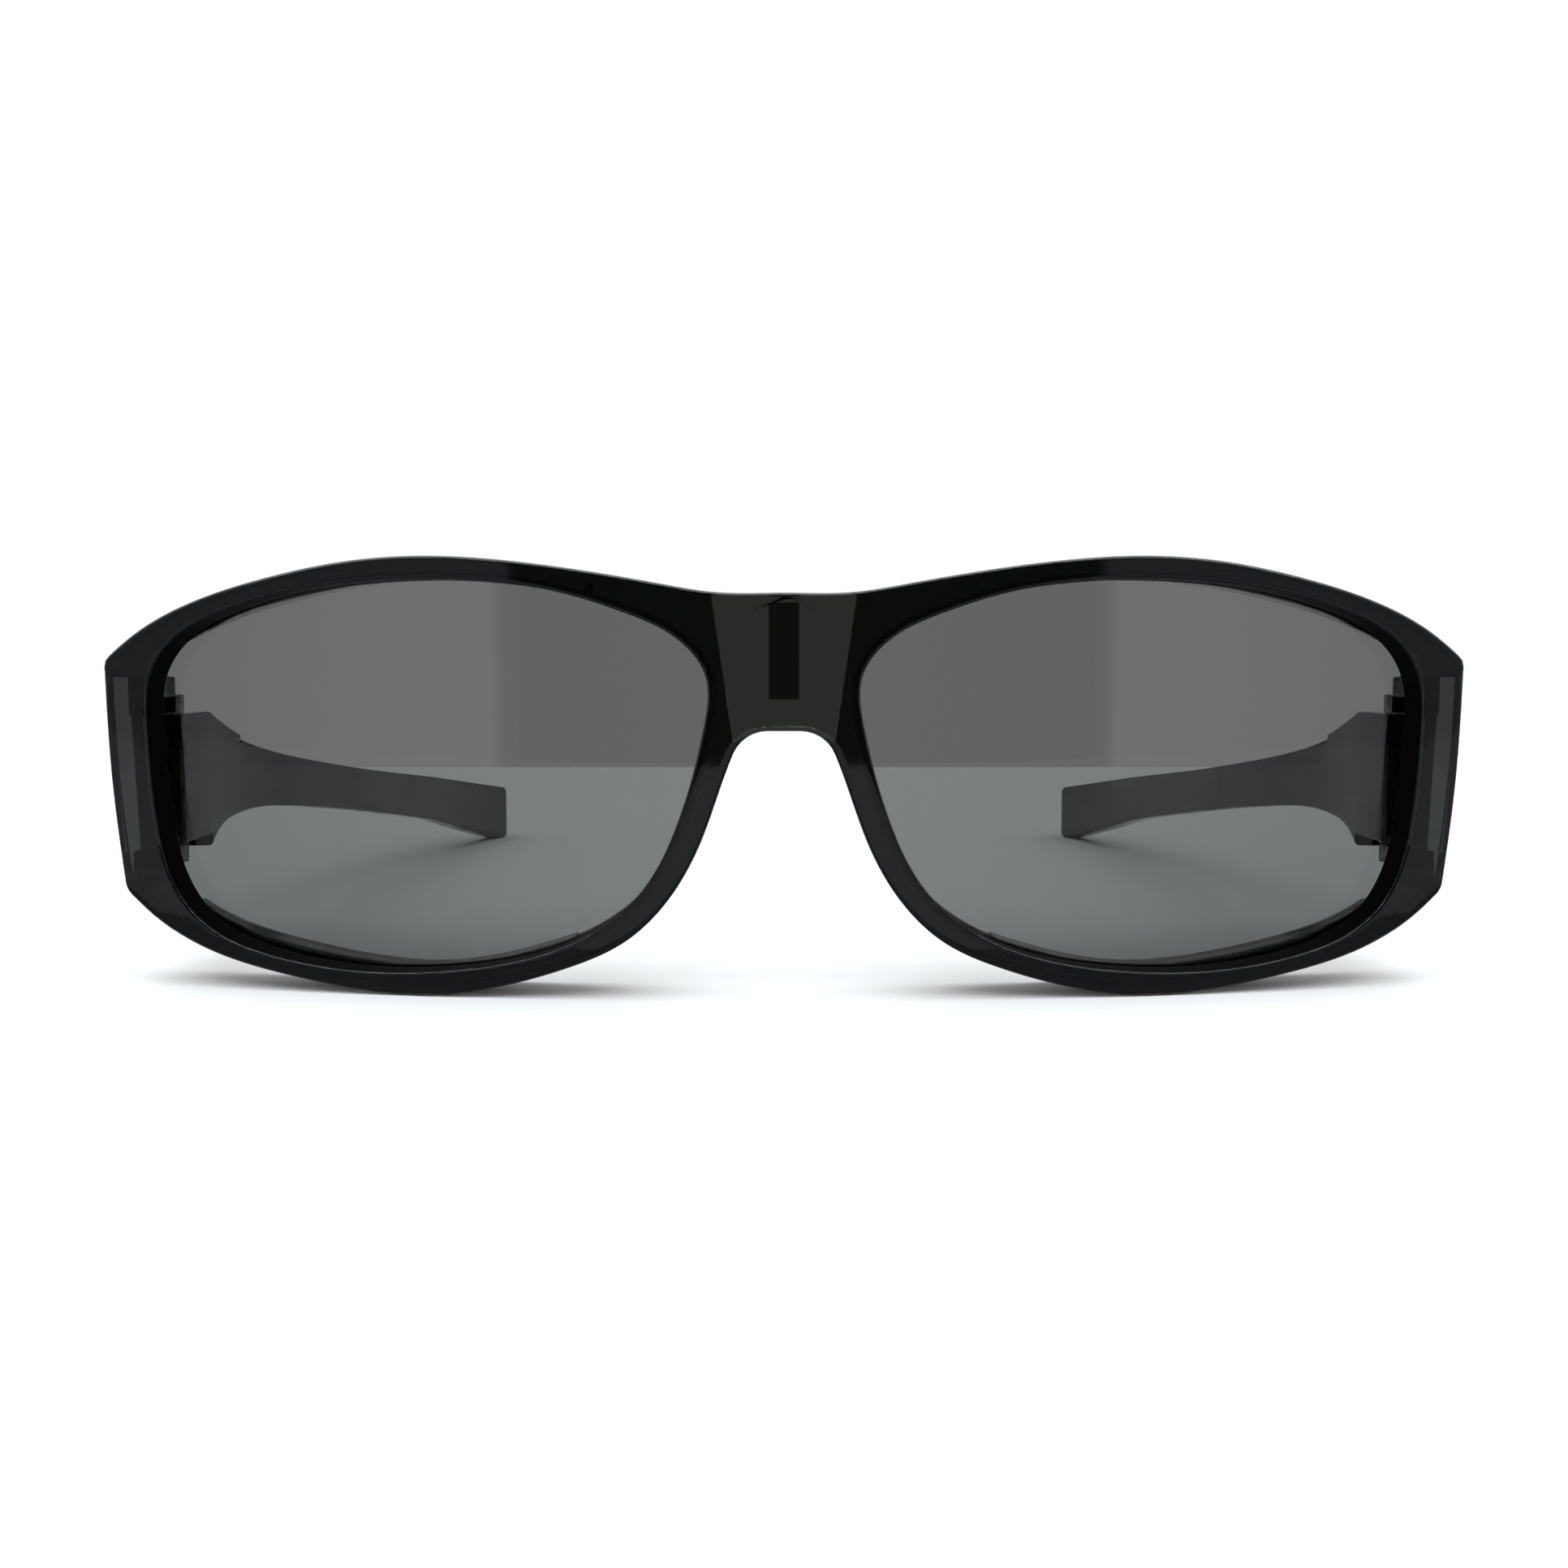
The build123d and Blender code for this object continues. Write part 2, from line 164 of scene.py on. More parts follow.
# %% Points of the outline, as shares of the half width and the height
brow_shares = [
    (0.0, 0.916), (0.099, 0.918), (0.167, 0.935), (0.268, 0.963), (0.383, 0.988), (0.489, 1.0),
    (0.609, 0.992), (0.736, 0.956), (0.843, 0.908), (0.946, 0.831), (1.0, 0.766),
]
end_middle_share = (0.9935, 0.481)
cheek_shares = [
    (0.976, 0.2265), (0.930, 0.162), (0.850, 0.092), (0.731, 0.040), (0.609, 0.0080),
    (0.498, 0.0015), (0.392, 0.030), (0.2985, 0.076),
]
arch_shares = [(1.0, 0.2105), (0.749, 0.347), (0.52, 0.575)]     # of the arch's own width and height
brow_end_run = (0.77, -0.64)         # direction of the brow where it meets the end
cheek_start_run = (-0.72, -0.69)     # direction of the cheek where it leaves the end
shoulder_points = 16
corner_points = 7
print("outline from", len(brow_shares) + len(cheek_shares) + len(arch_shares) + 1, "chosen points")


# %% Half of the outline, clockwise from the top of the bridge
def half_outline():
    """Smooth curves through the shares, and a circle arc of the shoulder radius beside the arch's top.

    In order: brow, end, cheek with the arch's side, shoulder, top of the arch, middle line.
    """
    brow = np.array(brow_shares) * (half_width, front_height)
    lower = np.array(cheek_shares) * (half_width, front_height)
    arch = np.array(arch_shares) * (arch_half_width, arch_height)
    turn = np.linspace(arch_side_angle, 0, shoulder_points)
    shoulder = np.stack([arch_flat + arch_shoulder * np.sin(turn),
                         arch_height - arch_shoulder * (1 - np.cos(turn))], axis=1)
    end_middle = np.array(end_middle_share) * (half_width, front_height)
    return {
        "brow": smooth_curve(brow, start=(1, 0), end=brow_end_run),
        "end": smooth_curve([brow[-1], end_middle, lower[0]]),
        "cheek": smooth_curve(np.vstack([lower, arch, shoulder[:1]]), start=cheek_start_run,
                              end=(-math.cos(arch_side_angle), math.sin(arch_side_angle))),
        "shoulder": shoulder,
        "arch": np.array([(arch_flat, arch_height), (0, arch_height)]),
        "centre": np.array([(0, arch_height), brow[0]]),
    }


def round_corner(before, after, size):
    """Replaces the corner of two curves by the parabola (1-t)^2 leave + 2t(1-t) corner + t^2 arrive."""
    reach, onward = travelled(before), travelled(after)
    leave = read_at([reach[-1] - size], reach, before)
    arrive = read_at([size], onward, after)
    t = np.linspace(0, 1, corner_points)[:, None]
    bend = (1 - t) ** 2 * leave + 2 * t * (1 - t) * before[-1:] + t ** 2 * arrive
    return np.vstack([before[reach < reach[-1] - size], bend]), np.vstack([arrive, after[onward > size]])


outline = half_outline()
outline["brow"], outline["end"] = round_corner(outline["brow"], outline["end"], corner_round)
outline["end"], outline["cheek"] = round_corner(outline["end"], outline["cheek"], corner_round)
print("outline", {name: round(travelled(curve)[-1], 1) for name, curve in outline.items()})

# %% [markdown]
# ## The lens window
# The window is the opening in front of the eye, and the lens sits in a groove in its wall. It could
# be cut out of a finished plate with a Boolean, which leaves long thin faces that shade badly. Here
# it is one closed curve, and each point of the outline gets a partner on it, in the same direction
# from the window's middle, so that the front becomes a ring of lines from the window to the edge.

# %% Window outline
window_centre = np.array([38.85, 23.5])
window_half = np.array([30.95, 20.95])
window_steps = 24
window_shares = [
    (0.998, 0.243), (0.979, 0.511), (0.859, 0.726), (0.677, 0.850), (0.450, 0.938),
    (0.207, 0.986), (-0.045, 1.0), (-0.291, 0.979), (-0.564, 0.902), (-0.719, 0.826),
    (-0.887, 0.706), (-0.990, 0.516), (-0.985, 0.263), (-0.900, -0.196), (-0.761, -0.582),
    (-0.522, -0.838), (-0.265, -0.950), (-0.018, -0.995), (0.237, -0.998), (0.538, -0.936),
    (0.703, -0.859), (0.850, -0.708), (0.934, -0.496), (0.971, -0.258),
]


def angle_about(centre, points):
    """Running angle of points seen from a centre, without the jump at half a turn."""
    across, up = (points - centre).T
    return np.unwrap(np.arctan2(up, across))


window = smooth_curve(np.array(window_shares) * window_half + window_centre, closed=True,
                      steps=window_steps)
window = np.vstack([window, window[:1]])
window_slope = np.gradient(window, axis=0)
window_slope[0] = window_slope[-1] = window[1] - window[-2]
window_out = np.stack([window_slope[:, 1], -window_slope[:, 0]], axis=1)
window_out /= np.linalg.norm(window_out, axis=1)[:, None]
window_angle = angle_about(window_centre, window)
print("window", np.ptp(window, axis=0).round(2))


def window_at(angle):
    """Window point and outward direction seen from the window's middle at an angle."""
    turned = np.mod(angle - window_angle[0], 2 * math.pi) + window_angle[0]
    point = read_at(turned, window_angle, window)
    away = read_at(turned, window_angle, window_out)
    return point, away / np.linalg.norm(away, axis=1)[:, None]


# %% [markdown]
# ## Columns of the front
# The front is one moulding with walls of several depths. It could be modelled with extrusions and
# Booleans. Here it is a profile carried round the window, so that every rounded edge is part of one
# smooth grid. At every station, called a column here, the profile runs over the front face, round
# the outer edge, along the wall, back over the rear and down into the window with its lens groove.
# Behind the brow, cheeks and nose the wall is deeper than at the bridge and at the open ends, so
# each column has three zones at the rear, each with its own depth. Where a depth changes, two
# columns stand side by side and make the step.

# %% Places where the depth changes
bridge_half_top = 7.7        # half width of the thin bridge plate at its top
bridge_half_bottom = 5.6     # and at its foot
foot_inset = 0.25            # the plate's step meets the arch this far inside its foot
rib_half = 1.6               # half width of the upright rib behind the plate
rib_below_brow = 0.9
rib_length = 10.2
rib_depth = 8.6
rib_top = brow_shares[0][1] * front_height - rib_below_brow
rib_low = rib_top - rib_length
strip_low = 11.2             # the thin strip at the open end starts at this height
strip_high = 32.3            # and goes up to here beside the window
strip_high_outer = 34.0      # and up to here at the outer edge
block_step_x = 72.6          # the upper block has its step at this X
hollow_high = (69.4, 36.9)   # outer corners of the space behind the window
hollow_low = (68.0, 9.3)
solid_brow_x = 20.0          # towards the nose from here the whole rim is as deep as the walls
solid_cheek_x = 22.0
print("rib from", round(rib_low, 2), "up to", round(rib_top, 2))

# %% Distances along the whole outline
whole, starts = [], {}
for name, curve in outline.items():
    starts[name] = travelled(np.vstack(whole))[-1] if whole else 0.0
    whole.append(curve)
whole = np.vstack(whole)
whole = whole[np.concatenate([[True], np.linalg.norm(np.diff(whole, axis=0), axis=1) > tiny])]
along = travelled(whole)
starts["stop"] = along[-1]
names = list(starts)
print("outline length", round(along[-1], 1))


def place_of(name, axis, value):
    """Distance along the outline at which the named curve passes a value of X (axis 0) or Z (axis 1)."""
    low, high = starts[name], starts[names[names.index(name) + 1]]
    part = (along >= low - tiny) & (along <= high + tiny)
    values, places = whole[part][:, axis], along[part]
    order = np.argsort(values)
    return float(np.interp(value, values[order], places[order]))


# %% Stations along the outline
column_step = 0.75           # usual distance between columns
step_gap = 0.03              # distance between the two columns of a step
last_column = 0.6            # the last column stands this far below the first one
plate_top_place = place_of("brow", 0, bridge_half_top)
plate_foot_place = place_of("shoulder", 0, bridge_half_bottom - foot_inset)
steps_at = [
    plate_top_place, place_of("brow", 0, solid_brow_x),
    place_of("end", 1, strip_high_outer), place_of("end", 1, strip_high), place_of("end", 1, strip_low),
    place_of("cheek", 0, solid_cheek_x), plate_foot_place,
    place_of("centre", 1, rib_low), place_of("centre", 1, rib_top),
]
# A mark is a place that has a column of its own. Between marks the columns are evenly spaced, and at
# a step the mark's column becomes two.
marks = sorted(steps_at + [starts[name] for name in names[1:-1]] + [starts["stop"] - last_column])
stations = [np.array([0.0])]
for low, high in zip([0.0] + marks, marks):
    if high - low > tiny:
        count = max(2, round((high - low) / column_step) + 1)
        stations.append(np.linspace(low, high, count)[1:])
stations = np.concatenate(stations)
for place in steps_at:
    stations = stations[abs(stations - place) > tiny]
    stations = np.append(stations, [place - step_gap / 2, place + step_gap / 2])
stations = np.sort(stations)
edge = read_at(stations, along, whole)
on_centre = stations > starts["centre"] - tiny
on_centre[np.argmin(abs(stations - starts["centre"]))] = False
print("columns", len(stations))

# %% Directions square to the outline
smooth_reach = 0.35          # a direction is read between two points this far to either side
arch_lead = 0.2              # the top of the arch faces down from this far before its start
ahead = read_at(np.clip(stations + smooth_reach, 0, along[-1]), along, whole)
behind = read_at(np.clip(stations - smooth_reach, 0, along[-1]), along, whole)
run = ahead - behind
edge_out = np.stack([-run[:, 1], run[:, 0]], axis=1)
edge_out /= np.linalg.norm(edge_out, axis=1)[:, None]
edge_out[0] = (0, 1)
edge_out[(stations >= starts["arch"] - arch_lead) & ~on_centre] = (0, -1)
edge_out[on_centre] = 0
print("columns on the middle line", int(on_centre.sum()))

# %% Partners on the window
# Across the top of the nose arch the outline runs almost straight at the window, so the partners
# are spread evenly there.
spread_lead = 0.5            # from this far along the arch's shoulder
spread_tail = 3.0            # to this far up the middle line
angle = angle_about(window_centre, edge)
spread_ends = [starts["shoulder"] + spread_lead, starts["centre"] + spread_tail]
spread = (stations > spread_ends[0]) & (stations < spread_ends[1])
angle[spread] = np.interp(stations[spread], spread_ends, np.interp(spread_ends, stations, angle))
rim, rim_out = window_at(angle)
print("narrowest rim", round(np.linalg.norm(edge - rim, axis=1).min(), 2))

# %% Parts of the front
brow_part = stations < starts["end"]
end_part = (stations >= starts["end"]) & (stations < starts["cheek"])
cheek_part = (stations >= starts["cheek"]) & (stations < starts["shoulder"])
nose_part = (stations > plate_foot_place) | (stations < plate_top_place)
eye_brow = brow_part & (edge[:, 0] > solid_brow_x)
eye_cheek = cheek_part & (edge[:, 0] > solid_cheek_x)
eye_part = eye_brow | eye_cheek | end_part
print("columns beside the eye", int(eye_part.sum()), "and the nose", int(nose_part.sum()))

# %% The window behind the lens
# It is wider there at its outer end, so that no edge shows through the lens.
groove_flare = 0.8           # by this much at the groove
rear_flare = 1.4             # and by this much at the rear edge
flare_from = 0.5             # where the window faces outwards by this share of its direction
flare_full = 0.9             # and in full from this share
outer_side = np.clip((rim_out[:, 0] - flare_from) / (flare_full - flare_from), 0, 1) * eye_part
print("columns with a wider window", int((outer_side > 0).sum()))

# %% First line of the rear, between the rim and the walls
# Beside the eye it keeps the wall's thickness from the outline, but stays inside the hollow's outer
# side. At the two corners it is level with the end. Near the window it leaves room for a flat land.
rear_land = 0.4              # least width of the flat rear face beside the window
end_shelf = 0.5              # its width beside the end block
hollow_x = np.interp(edge[:, 1], [hollow_low[1], hollow_high[1]], [hollow_low[0], hollow_high[0]])
inset = edge - skirt_wall * edge_out
first = (rim + edge) / 2
first[eye_part] = inset[eye_part]
first[:, 0] = np.where(eye_part, np.minimum(first[:, 0], hollow_x), first[:, 0])
corner_high, corner_low = outline["end"][0, 1], outline["end"][-1, 1]
upper_corner = brow_part & (inset[:, 0] > hollow_x)
lower_corner = cheek_part & (inset[:, 0] > hollow_x)
first[upper_corner, 1] = np.maximum(inset[upper_corner, 1], corner_high)
first[lower_corner, 1] = np.minimum(inset[lower_corner, 1], corner_low)
first[end_part, 0] = np.maximum(hollow_x, rim[:, 0] + rear_flare + end_shelf)[end_part]
first[end_part, 1] = edge[end_part, 1]

needed = rear_land + rear_flare * outer_side
tight = (outer_side > 0) & (np.linalg.norm(first - rim, axis=1) < needed)
first[tight] = (rim + needed[:, None] * rim_out)[tight]
print("columns moved out to clear the window", int(tight.sum()))

# %% First line beside the nose
# Each column has its step where it crosses the slanted side of the bridge plate.
nose_slope = (bridge_half_top - bridge_half_bottom) / (whole[0, 1] - arch_height)


def past_plate(points):
    """How far points lie outside the plate's side, a straight line from its foot to its top."""
    return points[:, 0] - bridge_half_bottom - nose_slope * (points[:, 1] - arch_height)


cross = np.clip(past_plate(rim) / (past_plate(rim) - past_plate(edge)), 0, 1)
first[nose_part] = (rim + cross[:, None] * (edge - rim))[nose_part]
print("the plate's side leans", round(math.degrees(math.atan(nose_slope)), 1), "degrees")

# %% Second line of the rear, and the depth of each zone
# It lies halfway from the first line to the edge, but at the end it stands at the block's step, and
# on the middle line at the side of the rib.
second = (first + edge) / 2
second[end_part] = np.stack([np.full(end_part.sum(), block_step_x), edge[end_part, 1]], axis=1)
second[on_centre] = np.stack([np.full(on_centre.sum(), rib_half), edge[on_centre, 1]], axis=1)

strip_recess = 0.3           # the back of the open end strip lies this much further in
open_b = end_part & (edge[:, 1] < strip_high) & (edge[:, 1] > strip_low)
open_c = end_part & (edge[:, 1] < strip_high_outer) & (edge[:, 1] > strip_low)
behind_bridge = on_centre & (edge[:, 1] > rib_low) & (edge[:, 1] < rib_top)
depth_a = np.where(eye_part, rim_depth, skirt_depth)
depth_b = np.where(nose_part, rim_depth, skirt_depth)
depth_c = depth_b.copy()
depth_a[open_b] = depth_b[open_b] = rim_depth - strip_recess
depth_c[open_c] = rim_depth - strip_recess
depth_c[behind_bridge] = rib_depth
print("open end columns", int(open_b.sum()), "rib columns", int(behind_bridge.sum()))

# %% Roundings of the edges
window_round = 0.3           # window, at the front face
rear_round = 0.35            # rear edges
brow_round = 0.45            # outer edge of the front face, at the brow
cheek_round = 0.6            # at the cheek and the nose arch
end_round = 0.35             # and at the open end
round_blend = 8.0            # length over which the end's rounding changes to its neighbour's
end_near = np.minimum(abs(stations - starts["end"]), abs(stations - starts["cheek"]))
end_near = np.where(end_part, 0.0, end_near)
usual = np.where(brow_part, brow_round, cheek_round)
rounding = end_round + np.interp(end_near, [0, round_blend], [0, 1]) * (usual - end_round)
rounding = np.where(on_centre, 0.0, rounding)
rear = np.where(on_centre, 0.0, rear_round)
print("roundings from", rounding[~on_centre].min(), "to", rounding.max())

# %% The profile of every column
lens_depth = 3.3             # front of the lens behind the front face
lens_thickness = 1.2
groove_side = 0.05           # clearance of the lens at each side
groove_reach = 0.85          # depth of the groove
face_points = 9              # across the front face
round_points = 7             # round its edges
edge_points = 4              # round the smaller edges
rows, painted_shade_rows = [], []


def row(plan, depth, turn_in, wall=False):
    """Adds one line of the surface: a plan point and a depth for each column.

    turn_in is 1 where the wall stands square to the curved face and 0 where it runs straight back.
    wall says that the faces from this line to the next are the window's wall, painted near-black as shade.
    """
    if wall:
        painted_shade_rows.append(len(rows))
    rows.append((plan, np.broadcast_to(np.asarray(depth, float), len(plan)), turn_in))


rim_face = rim + window_round * rim_out
edge_face = edge - rounding[:, None] * edge_out
for share in np.linspace(0, 1, face_points):
    row(rim_face + share * (edge_face - rim_face), 0, 0)
for bend in quarter_turn(round_points)[1:]:
    pull = rounding * (1 - math.sin(bend))
    row(edge - pull[:, None] * edge_out, rounding * (1 - math.cos(bend)), 0)
for bend in quarter_turn(edge_points):
    pull = rear * (1 - math.cos(bend))
    row(edge - pull[:, None] * edge_out, depth_c - rear * (1 - math.sin(bend)), 0)
row(second, depth_c, 0)
row(second, depth_b, 0)
row(first, depth_b, 0)
row(first, depth_a, 0)

# %% The profile goes on down into the window
groove_high = lens_depth - groove_side
groove_low = lens_depth + lens_thickness + groove_side
rear_rim = rim + (rear_flare * outer_side)[:, None] * rim_out
groove_rim = rim + (groove_flare * outer_side)[:, None] * rim_out
groove_floor = rim + groove_reach * rim_out
# Lines marked wall start faces of the window's wall, which get the painted shade.
for bend in quarter_turn(edge_points):
    row(rear_rim + rear_round * (1 - math.sin(bend)) * rim_out,
        depth_a - rear_round * (1 - math.cos(bend)), 1, wall=True)
row(groove_rim, groove_low, 1, wall=True)
row(groove_floor, groove_low, 1, wall=True)
row(groove_floor, groove_high, 1)
row(rim, groove_high, 1, wall=True)
for bend in quarter_turn(round_points)[:0:-1]:
    row(rim + window_round * (1 - math.sin(bend)) * rim_out, window_round * (1 - math.cos(bend)), 1)
print("lines of the profile", len(rows), "of them window wall", len(painted_shade_rows))


# %% From a plan to the curved front
def on_wrap(plan, depth, turn_in):
    """Puts plan points at a depth behind the curved face: y = R - sqrt((R - depth)^2 - x^2)."""
    x = plan[..., 0] * (1 - turn_in * depth / wrap_radius)
    y = wrap_radius - np.sqrt((wrap_radius - depth) ** 2 - x ** 2)
    return np.stack([x, y - overall_depth / 2, np.maximum(plan[..., 1], table_gap)], axis=-1)


surface = np.stack([on_wrap(plan, depth, turn_in) for plan, depth, turn_in in rows])
print("front grid", surface.shape)


# %% [markdown]
# ## From a grid to a mesh
# Blender could fill a grid from its own operators, but they need a selection and a mode. Here a
# grid of points becomes a mesh with one array of faces, which is quick and always the same. A
# closed shell has exactly two faces at every edge, and a positive volume when its faces point
# outwards. Both are worked out for each shell.

# %% Grid to mesh
def grid_faces(rows_count, columns_count, wrap_rows, wrap_columns):
    """Corner numbers of the quads of a grid whose rows and columns may close on themselves."""
    down = np.arange(rows_count if wrap_rows else rows_count - 1)[:, None]
    across = np.arange(columns_count if wrap_columns else columns_count - 1)[None, :]
    next_down, next_across = (down + 1) % rows_count, (across + 1) % columns_count
    corners = [down * columns_count + across, down * columns_count + next_across,
               next_down * columns_count + next_across, next_down * columns_count + across]
    return np.stack(np.broadcast_arrays(*corners), axis=-1).reshape(-1, 4)


def tidy_shell(points, faces, tolerance=0.002):
    """Joins points that coincide, drops repeated corners and faces without area.

    The third result tells which of the given faces each kept face was.
    """
    keys = np.round(points / tolerance).astype(np.int64)
    _, first_use, number = np.unique(keys, axis=0, return_index=True, return_inverse=True)
    number = number.ravel()
    clean, kept = [], []
    for given, face in enumerate(number[faces].tolist()):
        corners = [corner for place, corner in enumerate(face) if corner != face[place - 1]]
        if len(set(corners)) == len(corners) and len(corners) > 2:
            clean.append(corners)
            kept.append(given)
    return points[first_use], clean, np.array(kept)


# %% Checks of a shell
def open_edges(faces):
    """How many edges don't have exactly two faces."""
    edges = [pair for face in faces for pair in zip(face, face[1:] + face[:1])]
    _, uses = np.unique(np.sort(edges, axis=1), axis=0, return_counts=True)
    return int((uses != 2).sum())


def outward(points, faces):
    """Turns every face round if the shell's volume, a sum of a . (b x c) over its triangles, is negative."""
    triangles = np.array([(face[0], *pair) for face in faces for pair in zip(face[1:], face[2:])])
    a, b, c = points[triangles].transpose(1, 0, 2)
    volume = np.sum(a * np.cross(b, c))
    return faces if volume > 0 else [face[::-1] for face in faces]


# %% From a shell to a piece
def make_piece(name, points, faces, crease=30.0):
    """A mesh object in metres from points in millimetres, smooth except where it turns sharply."""
    mesh = bpy.data.meshes.new(name)
    mesh.from_pydata((points * MM).tolist(), [], faces)
    mesh.validate()
    mesh.shade_smooth()
    mesh.set_sharp_from_angle(angle=math.radians(crease))
    piece = bpy.data.objects.new(name, mesh)
    bpy.context.scene.collection.objects.link(piece)
    print(name, "points", len(mesh.vertices), "faces", len(mesh.polygons))
    return piece


def choose_materials(piece, slots):
    """Gives a piece its material slots and puts each face in the slot of its number."""
    for _ in range(slots.max() + 1):
        piece.data.materials.append(None)
    piece.data.polygons.foreach_set("material_index", slots.astype(np.int32))


# %% [markdown]
# ## The front as one piece
# The grid is the viewer's right half. A Mirror modifier could make the other half. Here the sign of
# X is changed and the faces are turned round, because the faces in the middle plane have to go
# before the halves join into one shell. The wall of the window gets a material slot of its own,
# for its painted shade.

# %% The front
half_points = surface.reshape(-1, 3)
half_faces = grid_faces(len(rows), len(stations), True, True)
in_middle = (abs(half_points[half_faces][..., 0]) < tiny).all(axis=1)
face_row = np.repeat(np.arange(len(rows)), len(stations))[~in_middle]
half_faces = half_faces[~in_middle]
both_points = np.vstack([half_points, half_points * (-1, 1, 1)])
both_faces = np.vstack([half_faces, half_faces[:, ::-1] + len(half_points)])
front_points, front_faces, kept = tidy_shell(both_points, both_faces)
front_faces = outward(front_points, front_faces)
print("open edges", open_edges(front_faces))
front_shell = make_piece("front_shell", front_points, front_faces)
# The faces of the window's wall go in the second slot, which carries the painted shade.
choose_materials(front_shell, np.isin(np.tile(face_row, 2)[kept], painted_shade_rows).astype(int))
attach(front_shell, "front")
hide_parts("front_frame")

# %% [markdown]
# ## Lenses
# A lens is a plate bent to the curve of the front, cut a little larger than its window and held by
# its edge in the groove. It could be a plane with Solidify and Bevel, bent by a modifier. Here it is
# made of rings, each the window's outline drawn in towards the middle, because the same function
# then gives the groove and the lens, and they fit.

# %% Lenses
lens_hold = 0.75             # the lens reaches this far into the groove
lens_margin = 0.1            # its outermost ring of even spacing lies this far into the groove
lens_edge_round = 0.15
lens_rings = 24
lens_spokes = 360
lens_angles = np.linspace(0, 2 * math.pi, lens_spokes, endpoint=False)


def lens_surface():
    """Rings from the middle of the front face over the rounded edge to the middle of the rear face.

    Ring s of the face is centre + s (opening - centre), and the edge is a quarter circle at each side.
    """
    opening, away = window_at(lens_angles)
    border = opening + lens_hold * away
    spoke = opening + lens_margin * away - window_centre
    front_side = [(window_centre + share * spoke, lens_depth) for share in np.linspace(0, 1, lens_rings)]
    for bend in quarter_turn(edge_points):
        front_side.append((border - lens_edge_round * (1 - math.sin(bend)) * away,
                           lens_depth + lens_edge_round * (1 - math.cos(bend))))
    rear_side = [(plan, 2 * lens_depth + lens_thickness - depth) for plan, depth in reversed(front_side)]
    return np.stack([on_wrap(plan, depth, 1) for plan, depth in front_side + rear_side])


lens_grid = lens_surface()
for side, sign in sides:
    lens_points, lens_faces, _ = tidy_shell(lens_grid.reshape(-1, 3) * (sign, 1, 1),
                                            grid_faces(*lens_grid.shape[:2], False, True))
    lens_faces = outward(lens_points, lens_faces)
    lens_piece = make_piece(f"tinted_lens_{side}", lens_points, lens_faces)
    print("open edges", open_edges(lens_faces))
    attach(lens_piece, "front")
    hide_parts(f"lens_{side}")

# %% [markdown]
# ## Temples
# A temple starts as a wide flat panel beside the hinge and thins to a rounded arm that dips to the
# ear. It could be a box shaped with subdivision. Here it is a run of cross-sections, one for each
# place along it, because its side view and its plan are each one smooth line. A cross-section is a
# polygon with rounded corners: at the panel it is a thick boss with a thin skin above and below, and
# further back the skin and the boss are one bar with a facet on its inner top edge.

# %% Sizes of the temples
temple_height = 34.3         # top of the panel
temple_out = 74.65           # outer face of the panel, from the middle plane
lean_in = 0.9                # the panel's top leans in by this much
skin_inner_x = 73.3          # inner face of the thin skin
pocket_end = 19.4            # behind this place the skin and the boss are one bar
hinge_x = 71.6               # the screw, across
hinge_reach = 11.0           # and back from the outer edge of the front
knuckle_radius = 1.5         # of the barrel and of the lugs
boss_low = 14.5
boss_high = 29.6
tip_round = 2.8              # rounding of the tip, seen from the side
tip_plan_round = 1.3         # and seen from above
arm_round = 0.9              # long edges of the arm
skin_round = 0.35            # edges of the skin
seam_share = 0.4             # along the arm the skin's inner line lies this share out from its inner face
print("boss", round(boss_high - boss_low, 2), "high")

# %% Side view and plan of the temples, as shares of the reach and of the height or half width
temple_top_shares = [
    (0.06, 1.0147), (0.086, 0.967), (0.1286, 0.878), (0.171, 0.816), (0.214, 0.763),
    (0.343, 0.650), (0.486, 0.562), (0.629, 0.490), (0.771, 0.420), (0.9, 0.347), (1.0, 0.286),
]
temple_low_shares = [
    (0.06, 0.315), (0.118, 0.318), (0.139, 0.382), (0.162, 0.434), (0.2, 0.464),
    (0.25, 0.472), (0.343, 0.442), (0.486, 0.368), (0.629, 0.284), (0.771, 0.190),
    (0.9, 0.072), (1.0, -0.0195),
]
outer_shares = [
    (0.1, 0.997), (0.143, 0.992), (0.214, 0.980), (0.343, 0.961), (0.486, 0.937),
    (0.629, 0.9125), (0.771, 0.883), (0.9, 0.845), (1.0, 0.7965),
]
inner_shares = [
    (0.1286, 0.9405), (0.214, 0.943), (0.343, 0.9235), (0.486, 0.897), (0.629, 0.870),
    (0.771, 0.8375), (0.9, 0.797), (1.0, 0.7485),
]

# %% Places of the cross-sections
facet_start = 30.0           # the facet starts here
facet_end = 58.0             # has faded here
facet_tail = 8.0             # and is gone this much further back
section_gap = 0.02           # two sections this near to each other make a step
barrel_sections = 8
panel_sections = 14
facet_sections = 20
arm_sections = 44
tip_sections = 12
temple_front = hinge_reach - knuckle_radius
tip_start = temple_reach - tip_round
places = np.concatenate([
    temple_front + knuckle_radius * (1 - np.cos(quarter_turn(barrel_sections))),
    np.linspace(hinge_reach, pocket_end, panel_sections)[1:],
    [pocket_end + section_gap],
    np.linspace(pocket_end, facet_start, panel_sections)[1:-1],
    [facet_start - section_gap, facet_start + section_gap],
    np.linspace(facet_start, facet_end, facet_sections)[1:],
    np.linspace(facet_end, tip_start, arm_sections)[1:-1],
    tip_start + tip_round * np.sin(quarter_turn(tip_sections)),
])
print("temple sections", len(places))


# %% The four long lines of a temple
def read_table(shares, size):
    """A smooth curve through a table of shares, read at the places of the cross-sections."""
    curve = smooth_curve(np.array(shares) * (temple_reach, size))
    return np.interp(places, curve[:, 0], curve[:, 1])


